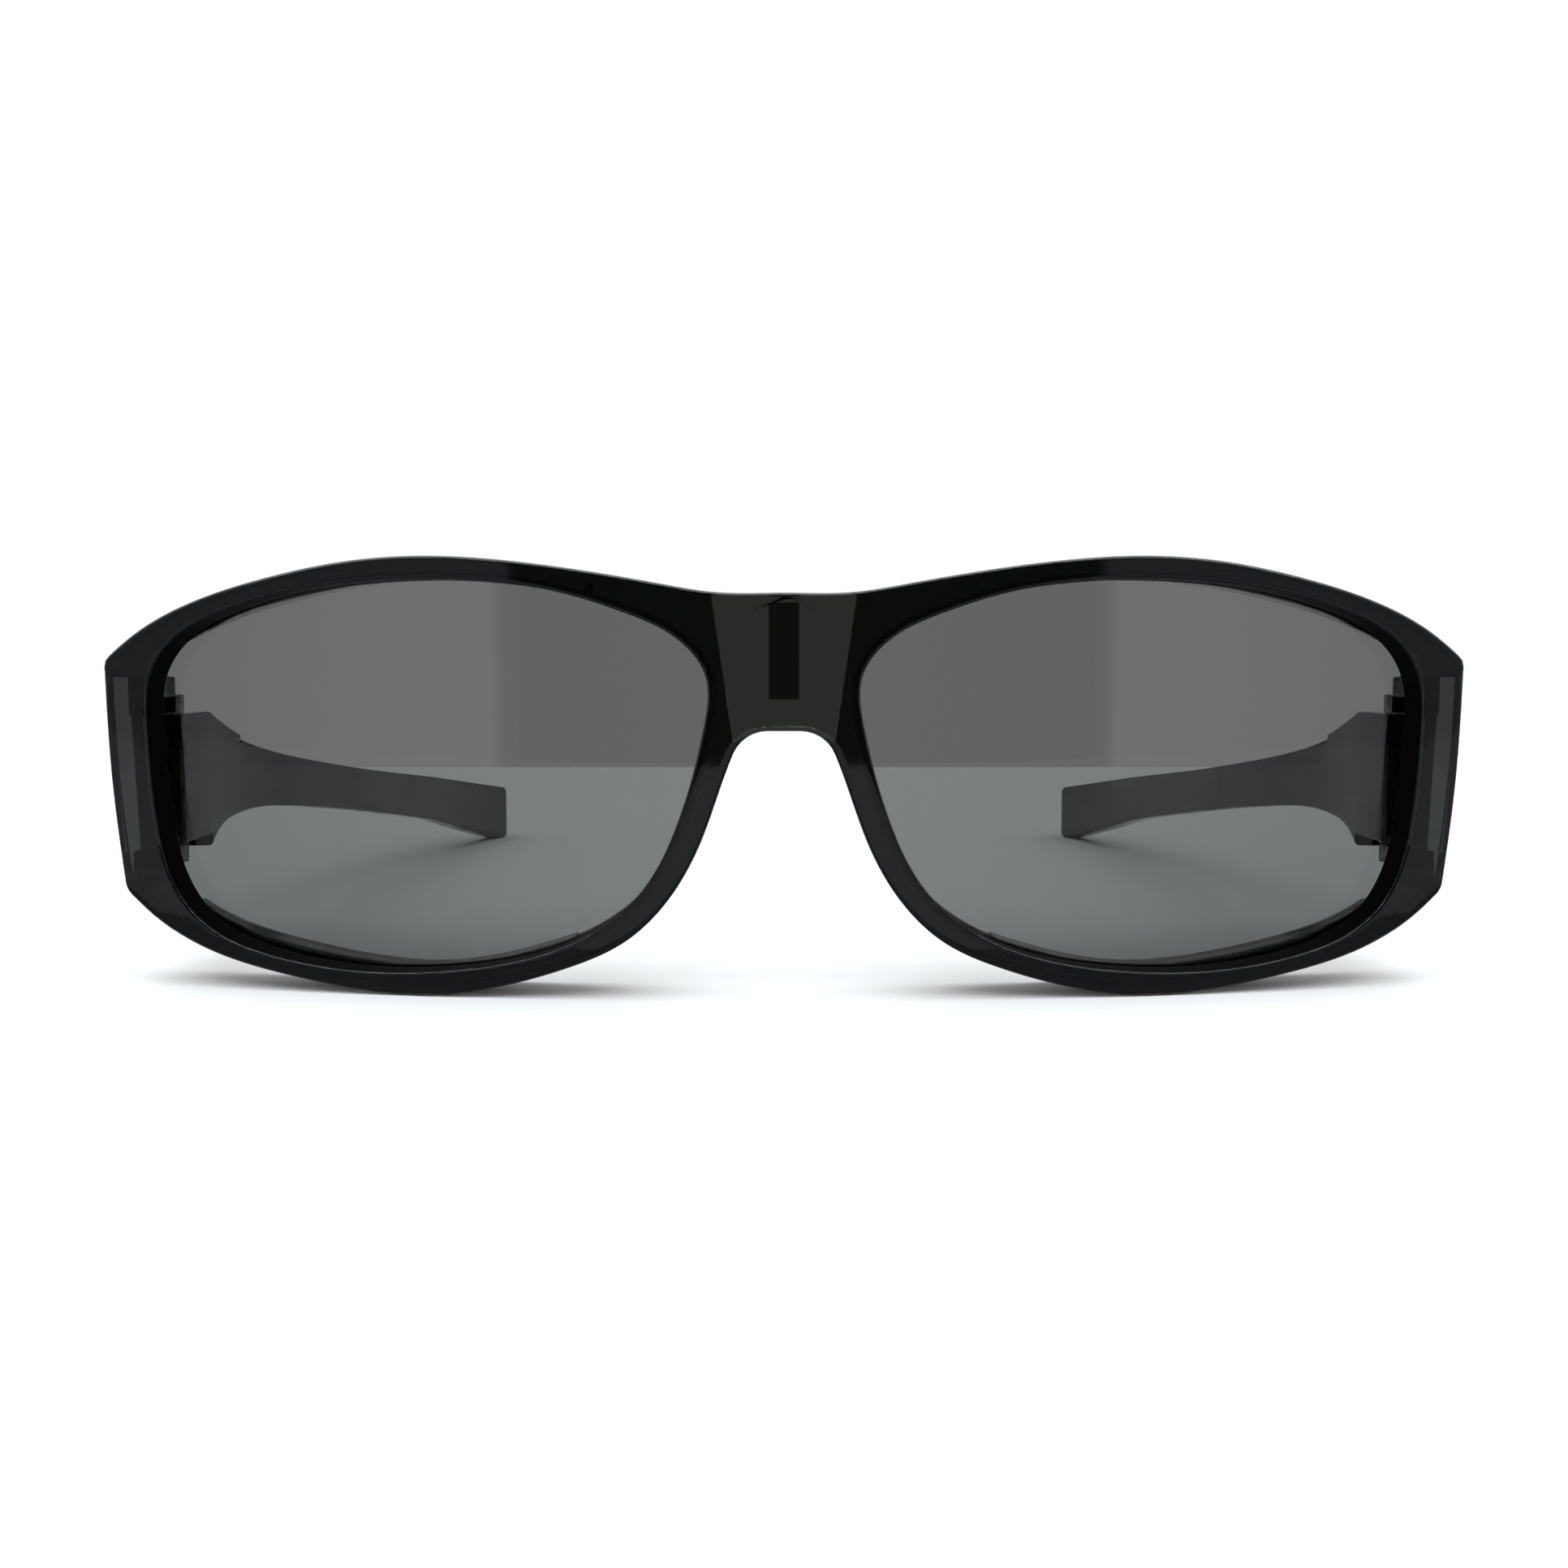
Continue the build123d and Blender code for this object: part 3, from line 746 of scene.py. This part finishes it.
def lead_in(shares, front_value):
    """A plan line that runs straight from its value at the front to the table's first place."""
    first_place, first_value = np.array(shares[0]) * (temple_reach, temple_out)
    straight = np.interp(places, [temple_front, first_place], [front_value, first_value])
    return np.where(places < first_place, straight, read_table(shares, temple_out))


def tip_cut(size):
    """How far a rounded tip draws a line in: r (1 - sqrt(1 - t^2)), with t from 0 to 1 over its last r."""
    t = np.clip((places - (temple_reach - size)) / size, 0, 1)
    return size * (1 - np.sqrt(1 - t ** 2))


top = read_table(temple_top_shares, temple_height) - tip_cut(tip_round)
low = read_table(temple_low_shares, temple_height) + tip_cut(tip_round)
outer = lead_in(outer_shares, temple_out) - tip_cut(tip_plan_round)
inner = lead_in(inner_shares, hinge_x - knuckle_radius)
# The barrel is round: at a distance d from the screw its half width is sqrt(r^2 - d^2).
barrel = places < hinge_reach
half_barrel = np.sqrt(np.maximum(knuckle_radius ** 2 - (hinge_reach - places[barrel]) ** 2, 0))
inner[barrel] = hinge_x - half_barrel
inner = inner + tip_cut(tip_plan_round)
print("temple height at its thinnest", round((top - low)[places < tip_start].min(), 2))

# %% Corners of every cross-section
# They go round from the outer top: down the outer face, in along the skin's foot, up to the boss, in
# and up its inner face with the facet, and back out along the skin's top.
facet_drop = 3.0             # height of the facet where it starts
facet_width = 1.5
facet_round = 0.25
facet_least = 0.08           # share of the facet that is left at facet_end
has_pocket = places <= pocket_end
boss_top = np.where(has_pocket, np.minimum(boss_high, top), top)
boss_foot = np.where(has_pocket, np.maximum(boss_low, low), low)
skin = np.where(has_pocket, skin_inner_x, outer * seam_share + inner * (1 - seam_share))
lean_slope = lean_in / (temple_height * (1 - temple_low_shares[0][1]))
outer_top = np.minimum(outer, temple_out - lean_slope * (temple_height - top))
outer_low = np.minimum(outer, temple_out - lean_slope * (temple_height - low))

fade = np.clip((facet_end - places) / (facet_end - facet_start), facet_least, 1)
tail = np.clip((facet_end + facet_tail - places) / facet_tail, 0, 1)
fade = np.where((places > facet_start) & (places < facet_end + facet_tail), fade * tail, 0)
cut_x, cut_z = facet_width * fade, facet_drop * fade
corners = np.stack([np.stack(pair, axis=1) for pair in (
    (outer_top, top), (outer_low, low), (skin, low), (skin, boss_foot), (inner, boss_foot),
    (inner, boss_top - cut_z), (inner + cut_x, boss_top), (skin, boss_top), (skin, top),
)], axis=1)
edge_size = np.where(has_pocket, skin_round, arm_round)
facet_size = np.where(fade > 0, facet_round, edge_size)
sharp = np.zeros_like(edge_size)
radii = np.stack([edge_size, edge_size, sharp, sharp, edge_size, facet_size, facet_size, sharp, sharp],
                 axis=1)
print("sections with a facet", int((fade > 0).sum()))


# %% Rounded cross-sections
def rounded_sections(corners, radii, arc=5, most=0.49):
    """Rounds the corners of polygons, one polygon per place, by the parabola of round_corner.

    A rounding leaves its radius of each side, but never more than the share called most.
    """
    count = corners.shape[1]
    loops = []
    for k in range(count):
        here, before, after = corners[:, k], corners[:, k - 1], corners[:, (k + 1) % count]
        to_before, to_after = before - here, after - here
        length_before = np.linalg.norm(to_before, axis=1)[:, None] + tiny
        length_after = np.linalg.norm(to_after, axis=1)[:, None] + tiny
        size = np.minimum(radii[:, k:k + 1], most * np.minimum(length_before, length_after))
        leave = here + to_before / length_before * size
        arrive = here + to_after / length_after * size
        for t in np.linspace(0, 1, arc):
            loops.append((1 - t) ** 2 * leave + 2 * t * (1 - t) * here + t ** 2 * arrive)
    return np.stack(loops, axis=1)


def temple_surface():
    """Places every cross-section at its distance behind the outer edge of the front."""
    sections = rounded_sections(corners, radii)
    y = np.broadcast_to((wrap_sag + places - overall_depth / 2)[:, None, None], sections[..., :1].shape)
    return np.concatenate([sections[..., :1], y, np.maximum(sections[..., 1:], table_gap)], axis=-1)


# %% Temples
def closed_tube(grid):
    """Quads round and along a grid of loops, with a fan of triangles over each end.

    A triangle repeats its last corner, so that it fits among the quads. tidy_shell drops the repeat.
    """
    count, around = grid.shape[:2]
    points = np.vstack([grid.reshape(-1, 3), grid[0].mean(axis=0), grid[-1].mean(axis=0)])
    first_ring = np.arange(around)
    last_ring = (count - 1) * around + first_ring
    fans = []
    for middle, ring, following in ((count * around, np.roll(first_ring, -1), first_ring),
                                    (count * around + 1, last_ring, np.roll(last_ring, -1))):
        fans.append(np.stack([np.full(around, middle), ring, following, following], axis=1))
    return points, np.vstack([grid_faces(count, around, False, True), *fans])


temple_grid = temple_surface()
for side, sign in sides:
    temple_points, temple_faces, _ = tidy_shell(*closed_tube(temple_grid * (sign, 1, 1)))
    temple_faces = outward(temple_points, temple_faces)
    print("open edges", open_edges(temple_faces))
    arm_piece = make_piece(f"temple_arm_{side}", temple_points, temple_faces)
    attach(arm_piece, f"temple_{side}")
    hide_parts(f"temple_{side}")

# %% [markdown]
# ## Hinge lugs
# Behind each end of the front two lugs reach back, one above and one below the temple's barrel, and
# the screw passes through them. A lug is a flat tongue with a round end and a deeper heel at its
# root. It could be a cylinder joined to a cube. Here each is a stack of plan outlines drawn in at
# its top and foot, which gives the soft edge of a moulding without a bevel.

# %% Sizes of the lugs
lug_start = 5.9              # root of the lugs, back from the outer edge of the front
heel_end = 8.8               # end of the heels
lug_round = 0.2
lug_gap = 0.15               # clearance to the temple's boss
lug_thickness = 2.15
lower_heel_foot = 10.1
flat_end = 0.02              # a heel ends nearly flat, by this share of a round end
bend_middle = 0.3            # a quarter circle's middle lies this share of its radius from both sides
tongue_points = 17
upper_foot = boss_high + lug_gap
lower_head = boss_low - lug_gap
lugs = [                     # foot and head of a tongue, then of its heel
    (upper_foot, upper_foot + lug_thickness, upper_foot, strip_high_outer),
    (lower_head - lug_thickness, lower_head, lower_heel_foot, lower_head),
]
print("lugs", [[round(value, 2) for value in lug] for lug in lugs])


# %% Hinge lugs
def tongue(stop, low_z, high_z, round_end):
    """A stack of plan outlines: two straight sides and a half circle, drawn in at both faces."""
    bend = np.linspace(-math.pi / 2, math.pi / 2, tongue_points)
    near, height = bend_middle * lug_round, high_z - low_z
    levels = ((0, lug_round), (near, near), (lug_round, 0),
              (height - lug_round, 0), (height - near, near), (height, lug_round))
    layers = []
    for rise, pull in levels:
        radius = knuckle_radius - pull
        round_part = np.stack([radius * np.sin(bend), stop + radius * np.cos(bend) * round_end], axis=1)
        plan = np.vstack([[-radius, lug_start], round_part, [radius, lug_start]])
        layers.append(np.stack([hinge_x + plan[:, 0], wrap_sag + plan[:, 1] - overall_depth / 2,
                                np.full(len(plan), low_z + rise)], axis=1))
    return np.stack(layers)


for side, sign in sides:
    all_points, all_faces, count = [], [], 0
    for low_z, high_z, heel_low, heel_high in lugs:
        for lug_grid in (tongue(hinge_reach, low_z, high_z, 1),
                         tongue(heel_end, heel_low, heel_high, flat_end)):
            lug_points, lug_faces, _ = tidy_shell(*closed_tube(lug_grid * (sign, 1, 1)))
            lug_faces = outward(lug_points, lug_faces)
            all_points.append(lug_points)
            all_faces += [[corner + count for corner in face] for face in lug_faces]
            count += len(lug_points)
    print("open edges", open_edges(all_faces))
    lug_piece = make_piece(f"hinge_lugs_{side}", np.vstack(all_points), all_faces)
    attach(lug_piece, "front")

# %% [markdown]
# ## Materials
# Every finish is a small tree of nodes. One function adds a node, sets it and links it, so that a
# material reads from top to bottom. Patterns are sized in real millimetres on the Object
# coordinates, which stay with the piece when it moves.

# %% Helpers for materials
def linear(code):
    """Turns an sRGB hex colour into linear values."""
    values = [int(code[place:place + 2], 16) / 255 for place in (1, 3, 5)]
    return [value / 12.92 if value <= 0.04045 else ((value + 0.055) / 1.055) ** 2.4 for value in values]


def add_node(tree, kind, settings=(), *sources, **links):
    """Adds a node, sets its properties and sockets, and links other nodes' sockets into it.

    Plain sources go into its first sockets in order, and named ones into the socket of that name.
    """
    node = tree.nodes.new(kind)
    for key, value in dict(settings).items():
        if hasattr(node, key):
            setattr(node, key, value)
        else:
            node.inputs[key].default_value = value
    for key, source in enumerate(sources):
        tree.links.new(source, node.inputs[key])
    for key, source in links.items():
        tree.links.new(source, node.inputs[key.replace("_", " ")])
    return node


def new_material(name):
    """An empty material and its node tree."""
    material = bpy.data.materials.new(name)
    material.use_nodes = True
    material.node_tree.nodes.clear()
    return material, material.node_tree


def paint(piece, material):
    """Gives every face of a piece one material."""
    if piece.material_slots:
        for slot in piece.material_slots:
            slot.link = "OBJECT"
            slot.material = material
    else:
        piece.data.materials.append(material)


# %% [markdown]
# ## Smoke-grey polycarbonate, injection moulded
# The front and temples are polycarbonate with a grey dye, moulded in a polished tool. That gives a
# glossy skin with faint long waves and a very fine haze. A grey glass colour would tint the light
# once at the skin, however thick the piece is. Here the dye is an absorption inside the solid, so
# light goes through a thin place and hardly through a thick one: the bridge and the open ends look
# grey, and the places with a wall behind them look black.

# %% Smoke-grey polycarbonate
dye_per_metre = 650.0        # light falls to about a third in 1.7 mm
temple_dye_per_metre = 2500.0    # the temples show denser, through the lenses and from the side
dye_passes = (0.0, 0.03, 0.0, 1)     # the dye holds back a little less green than red and blue
skin_colour = "#F4F6F3"
plastic_ior = 1.5            # a little under polycarbonate's 1.58, matched to the photograph
ripple_mm = 6.0              # length of the faint waves that a moulding keeps
ripple_height = 0.05 * MM
ripple_strength = 0.12
haze_mm = 0.35               # grain of the haze, drawn coarser than it is so that it shows
haze_range = {"From Min": 0.35, "From Max": 0.75}    # where most of the noise lies
polished = {"To Min": 0.035, "To Max": 0.05}         # roughness of a polished moulding


def hazy_roughness(tree, place, finish):
    """Roughness that changes with a fine noise between the two values of a finish."""
    haze = add_node(tree, "ShaderNodeTexNoise", {"Scale": 1 / (haze_mm * MM), "Detail": 2.0},
                    Vector=place.outputs["Object"])
    return add_node(tree, "ShaderNodeMapRange", {**haze_range, **finish}, Value=haze.outputs["Fac"])


def smoke_plastic(name, dye):
    """Clear body with grey dye inside, a polished skin and faint moulding waves."""
    material, tree = new_material(name)
    place = add_node(tree, "ShaderNodeTexCoord")
    waves = add_node(tree, "ShaderNodeTexNoise", {"Scale": 1 / (ripple_mm * MM), "Detail": 1.0},
                     Vector=place.outputs["Object"])
    rough = hazy_roughness(tree, place, polished)
    bump = add_node(tree, "ShaderNodeBump", {"Strength": ripple_strength, "Distance": ripple_height},
                    Height=waves.outputs["Fac"])
    skin = add_node(tree, "ShaderNodeBsdfPrincipled", {
        "Base Color": (*linear(skin_colour), 1), "Transmission Weight": 1.0, "IOR": plastic_ior,
    }, Roughness=rough.outputs["Result"], Normal=bump.outputs["Normal"])
    body = add_node(tree, "ShaderNodeVolumeAbsorption", {"Color": dye_passes, "Density": dye})
    add_node(tree, "ShaderNodeOutputMaterial", Surface=skin.outputs["BSDF"], Volume=body.outputs["Volume"])
    print(name, "dye", dye)
    return material


front_plastic = smoke_plastic("smoke_polycarbonate_moulded", dye_per_metre)
temple_plastic = smoke_plastic("smoke_polycarbonate_temples", temple_dye_per_metre)

# %% [markdown]
# ## The wall of the window, painted as shade
# Each lens has a narrow black ring round it. It is the wall of the window, seen at a flat angle and
# through a lot of dyed plastic, which makes it look black. It could be clear like the rest, but then
# the render shows bright lines from the table in it. So that shade is painted: the wall is an opaque
# near-black skin that is duller than the polished face and hardly reflects.

# %% Window wall
# The near-black colour and the low IOR are painted shade. The real wall is the same dyed plastic as the
# face.
wall_painted_shade_colour = "#070708"
wall_shade_ior = 1.06              # low, so that the white studio doesn't grey the wall
dull = {"To Min": 0.28, "To Max": 0.34}
wall_shade_material, tree = new_material("smoke_polycarbonate_window_wall")
wall_rough = hazy_roughness(tree, add_node(tree, "ShaderNodeTexCoord"), dull)
wall_shade_skin = add_node(tree, "ShaderNodeBsdfPrincipled", {
    "Base Color": (*linear(wall_painted_shade_colour), 1), "IOR": wall_shade_ior,
}, Roughness=wall_rough.outputs["Result"])
add_node(tree, "ShaderNodeOutputMaterial", Surface=wall_shade_skin.outputs["BSDF"])
print("window wall", wall_shade_material.name)

# %% [markdown]
# ## Tinted lens, polished and hard coated
# The lens is moulded, tinted through its whole thickness and dipped in a hard coat. The eye sees a
# smooth mirror with one even grey behind it. As in the plastic, the tint is an absorption inside the
# plate, so the lens stays as dark where it is seen at an angle as a real one. The coat levels itself
# with long low waves, which bend the reflections slightly.

# %% Tinted lens
lens_dye_per_metre = 1630.0  # leaves about a seventh of the light in 1.2 mm
lens_passes = (0.0, 0.022, 0.01, 1)
lens_ior = 1.42              # polycarbonate has 1.58, and this gives the photograph's weaker reflections
coat_wave_mm = 12.0          # length of the waves in the coat
coat_wave_height = 0.03 * MM
coat_wave_strength = 0.05
lens_material, tree = new_material("tinted_lens_hard_coated")
place = add_node(tree, "ShaderNodeTexCoord")
coat_waves = add_node(tree, "ShaderNodeTexNoise", {"Scale": 1 / (coat_wave_mm * MM), "Detail": 1.0},
                      Vector=place.outputs["Object"])
coat_bump = add_node(tree, "ShaderNodeBump", {"Strength": coat_wave_strength, "Distance": coat_wave_height},
                     Height=coat_waves.outputs["Fac"])
glaze = add_node(tree, "ShaderNodeBsdfPrincipled", {
    "Base Color": (1, 1, 1, 1), "Transmission Weight": 1.0, "IOR": lens_ior, "Roughness": 0.0,
}, Normal=coat_bump.outputs["Normal"])
tint = add_node(tree, "ShaderNodeVolumeAbsorption", {"Color": lens_passes, "Density": lens_dye_per_metre})
add_node(tree, "ShaderNodeOutputMaterial", Surface=glaze.outputs["BSDF"], Volume=tint.outputs["Volume"])
print("lens lets through", round(math.exp(-lens_dye_per_metre * lens_thickness * MM), 3))

# %% [markdown]
# ## Turned steel
# The hinge screws keep their shape from the construction, with head and slot, and only get a finish.
# A turned screw has fine rings round its axis, which break up its reflections. A flat grey metal
# would look like plastic at this size, so the rings are a wave pattern in the roughness.

# %% Turned steel
ring_mm = 0.4                # the real rings are finer, and drawn this coarse so that they show
turned = {"To Min": 0.18, "To Max": 0.38}
steel_colour = "#B9B8B5"
steel, tree = new_material("turned_steel_screw")
place = add_node(tree, "ShaderNodeTexCoord")
rings = add_node(tree, "ShaderNodeTexWave", {"wave_type": "RINGS", "rings_direction": "Z",
                                             "Scale": 1 / (ring_mm * MM)}, Vector=place.outputs["Object"])
steel_rough = add_node(tree, "ShaderNodeMapRange", turned, Value=rings.outputs["Fac"])
metal = add_node(tree, "ShaderNodeBsdfPrincipled", {
    "Base Color": (*linear(steel_colour), 1), "Metallic": 1.0,
}, Roughness=steel_rough.outputs["Result"])
add_node(tree, "ShaderNodeOutputMaterial", Surface=metal.outputs["BSDF"])
print("steel", steel.name)

# %% Give each piece its finish
finishes = {"hinge_lugs": front_plastic, "temple_arm": temple_plastic, "tinted_lens": lens_material,
            "hinge_screw": steel}
# The front's second slot is the window wall's painted shade.
front_shell.data.materials[0], front_shell.data.materials[1] = front_plastic, wall_shade_material
for piece in list(bpy.data.objects):
    for start, finish in finishes.items():
        if piece.name.startswith(start):
            paint(piece, finish)
            print(piece.name, finish.name)

# %% [markdown]
# ## Studio
# The glasses stand on a white table under soft light. A studio lights a white backdrop apart from
# the glasses. Here the air is white to the camera, in reflections and through the lenses, and weaker
# as a light, so that the white doesn't wash out the plastic. One wide lamp above gives the soft
# shadow on the table.

# %% Floor
def plain_sheet(name, corners):
    """One flat quad through four corners, given in millimetres."""
    sheet = bpy.data.meshes.new(name)
    sheet.from_pydata([tuple(value * MM for value in corner) for corner in corners], [], [(0, 1, 2, 3)])
    piece = bpy.data.objects.new(name, sheet)
    bpy.context.scene.collection.objects.link(piece)
    return piece


floor_reach = 4000.0
table_white = "#FDFDFD"
floor = plain_sheet("floor", [(-floor_reach, -floor_reach, 0), (floor_reach, -floor_reach, 0),
                              (floor_reach, floor_reach, 0), (-floor_reach, floor_reach, 0)])
floor_material, tree = new_material("white_table")
chalk = add_node(tree, "ShaderNodeBsdfDiffuse", {"Color": (*linear(table_white), 1)})
add_node(tree, "ShaderNodeOutputMaterial", Surface=chalk.outputs["BSDF"])
paint(floor, floor_material)
print("floor", floor_reach * MM, "m to each side")

# %% Air
air_light = 0.65             # strength of the air as a light
world = bpy.data.worlds.new("studio_air")
bpy.context.scene.world = world
world.use_nodes = True
tree = world.node_tree
tree.nodes.clear()
ray = add_node(tree, "ShaderNodeLightPath")
larger = {"operation": "MAXIMUM"}
seen = add_node(tree, "ShaderNodeMath", larger, ray.outputs["Is Camera Ray"], ray.outputs["Is Glossy Ray"])
seen_all = add_node(tree, "ShaderNodeMath", larger, seen.outputs[0], ray.outputs["Is Transmission Ray"])
soft_air = add_node(tree, "ShaderNodeBackground", {"Color": (1, 1, 1, 1), "Strength": air_light})
white_air = add_node(tree, "ShaderNodeBackground", {"Color": (1, 1, 1, 1), "Strength": 1.0})
choice = add_node(tree, "ShaderNodeMixShader", {}, seen_all.outputs[0], soft_air.outputs[0],
                  white_air.outputs[0])
add_node(tree, "ShaderNodeOutputWorld", Surface=choice.outputs["Shader"])
print("world", world.name)

# %% Lamp
lamp_width = 90.0            # degrees that it fills in the sky, as a large softbox close above does
lamp_lean = 8.0              # degrees from upright, so that it shines a little towards the back
lamp_light = 2.7
lamp_colour = (0.95, 1.0, 1.03)      # a little cool, like studio flash
lamp_data = bpy.data.lights.new("softbox", "SUN")
lamp_data.angle = math.radians(lamp_width)
lamp_data.energy = lamp_light
lamp_data.color = lamp_colour
lamp = bpy.data.objects.new("softbox", lamp_data)
lamp.rotation_euler = (math.radians(lamp_lean), 0, 0)
bpy.context.scene.collection.objects.link(lamp)
print("lamp", lamp_light, "air", air_light)

# %% [markdown]
# ## Cards round the glasses
# A shiny dark thing shows what stands round it. The upper part of each lens reflects the dim room
# behind the camera, with brighter fields at its sides, and the lower part reflects the table. A
# studio sets up cards for this. Here they are glowing sheets that direct view, diffuse light and
# shadows leave out: three show only in reflections, and one behind the glasses shows only through
# the plastic and the lenses.

# %% A glowing card
zone_edge = 4.0              # width of the soft border of a zone
card_half = 1500.0
cool_white = "#EFF5FF"


def card(name, corners, light, beyond=None, zone=(0.0, 0.0), tint=cool_white):
    """A card that glows with one strength, or with a brighter one beyond a zone of X, in millimetres.

    The strength is the larger of two ramps, one at each border of the zone.
    """
    beyond = light if beyond is None else beyond
    sheet = plain_sheet(name, corners)
    material, tree = new_material(name + "_light")
    place = add_node(tree, "ShaderNodeTexCoord")
    split_xyz = add_node(tree, "ShaderNodeSeparateXYZ", Vector=place.outputs["Object"])
    left = add_node(tree, "ShaderNodeMapRange", {
        "From Min": (zone[0] - zone_edge) * MM, "From Max": zone[0] * MM,
        "To Min": beyond, "To Max": light}, Value=split_xyz.outputs["X"])
    right = add_node(tree, "ShaderNodeMapRange", {
        "From Min": zone[1] * MM, "From Max": (zone[1] + zone_edge) * MM,
        "To Min": light, "To Max": beyond}, Value=split_xyz.outputs["X"])
    either = add_node(tree, "ShaderNodeMath", larger, left.outputs["Result"], right.outputs["Result"])
    glow = add_node(tree, "ShaderNodeEmission", {"Color": (*linear(tint), 1)}, Strength=either.outputs[0])
    add_node(tree, "ShaderNodeOutputMaterial", Surface=glow.outputs["Emission"])
    paint(sheet, material)
    sheet.visible_camera = sheet.visible_diffuse = sheet.visible_shadow = False
    print(name, light, beyond)
    return sheet


def upright(y, low, high):
    """Corners of a wide upright rectangle at one distance, between two heights."""
    return [(-card_half, y, low), (card_half, y, low), (card_half, y, high), (-card_half, y, high)]


def lying(z, near, far):
    """Corners of a wide flat rectangle at one height, between two distances."""
    return [(-card_half, near, z), (card_half, near, z), (card_half, far, z), (-card_half, far, z)]


# %% The four cards
room_y = -420.0              # behind the camera
wall_y = 150.0               # behind the glasses
card_top = 700.0
wall_low = 8.6               # height over the table at which the card behind the glasses starts
table_z = 0.3                # just over the table
table_middle = -100.0        # from here to the glasses the table lies in their shade
table_near = -66.0
room_light, room_sides, room_zone = 0.03, 0.3, (-160.0, 190.0)    # dim room, brighter at its sides
table_light, painted_shade_light = 0.45, 0.2
wall_light, wall_sides, wall_zone = 0.93, 1.18, (-70.3, 80.5)     # brighter behind the open ends
room_card = card("room_card", upright(room_y, 0, card_top), room_light, room_sides, room_zone)
table_card = card("table_card", lying(table_z, room_y, table_middle), table_light)
# This card is painted shade: a dim sheet, seen only in reflections, where the table lies in the glasses'
# shade.
near_card = card("near_card", lying(table_z, table_middle, table_near), painted_shade_light)
wall_card = card("wall_card", upright(wall_y, wall_low, card_top), wall_light, wall_sides, wall_zone,
                 tint="#FFFFFF")
for mirrored in (room_card, table_card, near_card):
    mirrored.visible_transmission = False
wall_card.visible_glossy = False

# %% [markdown]
# ## Camera
# The photograph looks at the front almost square, from close by, so the temples shrink towards
# their tips. The distance follows from that, and the lens from how much of the picture the front
# fills. A shifted camera could give the same frame, but a small tilt needs no shift.

# %% Camera at the photograph's view
camera_lens = 34.84          # millimetres, on a sensor that is 36 mm wide
camera_place = (0.0, -0.2322, 0.0362)
camera_tilt = 4.77           # degrees below level
camera_data = bpy.data.cameras.new("camera")
camera_data.lens = camera_lens
camera_data.sensor_width = 36.0
camera_data.clip_start = 0.01
camera = bpy.data.objects.new("camera", camera_data)
camera.location = camera_place
camera.rotation_euler = (math.radians(90 - camera_tilt), 0, 0)
bpy.context.scene.collection.objects.link(camera)
bpy.context.scene.camera = camera
bpy.context.scene.view_settings.view_transform = "Standard"
print("camera at", camera_place)
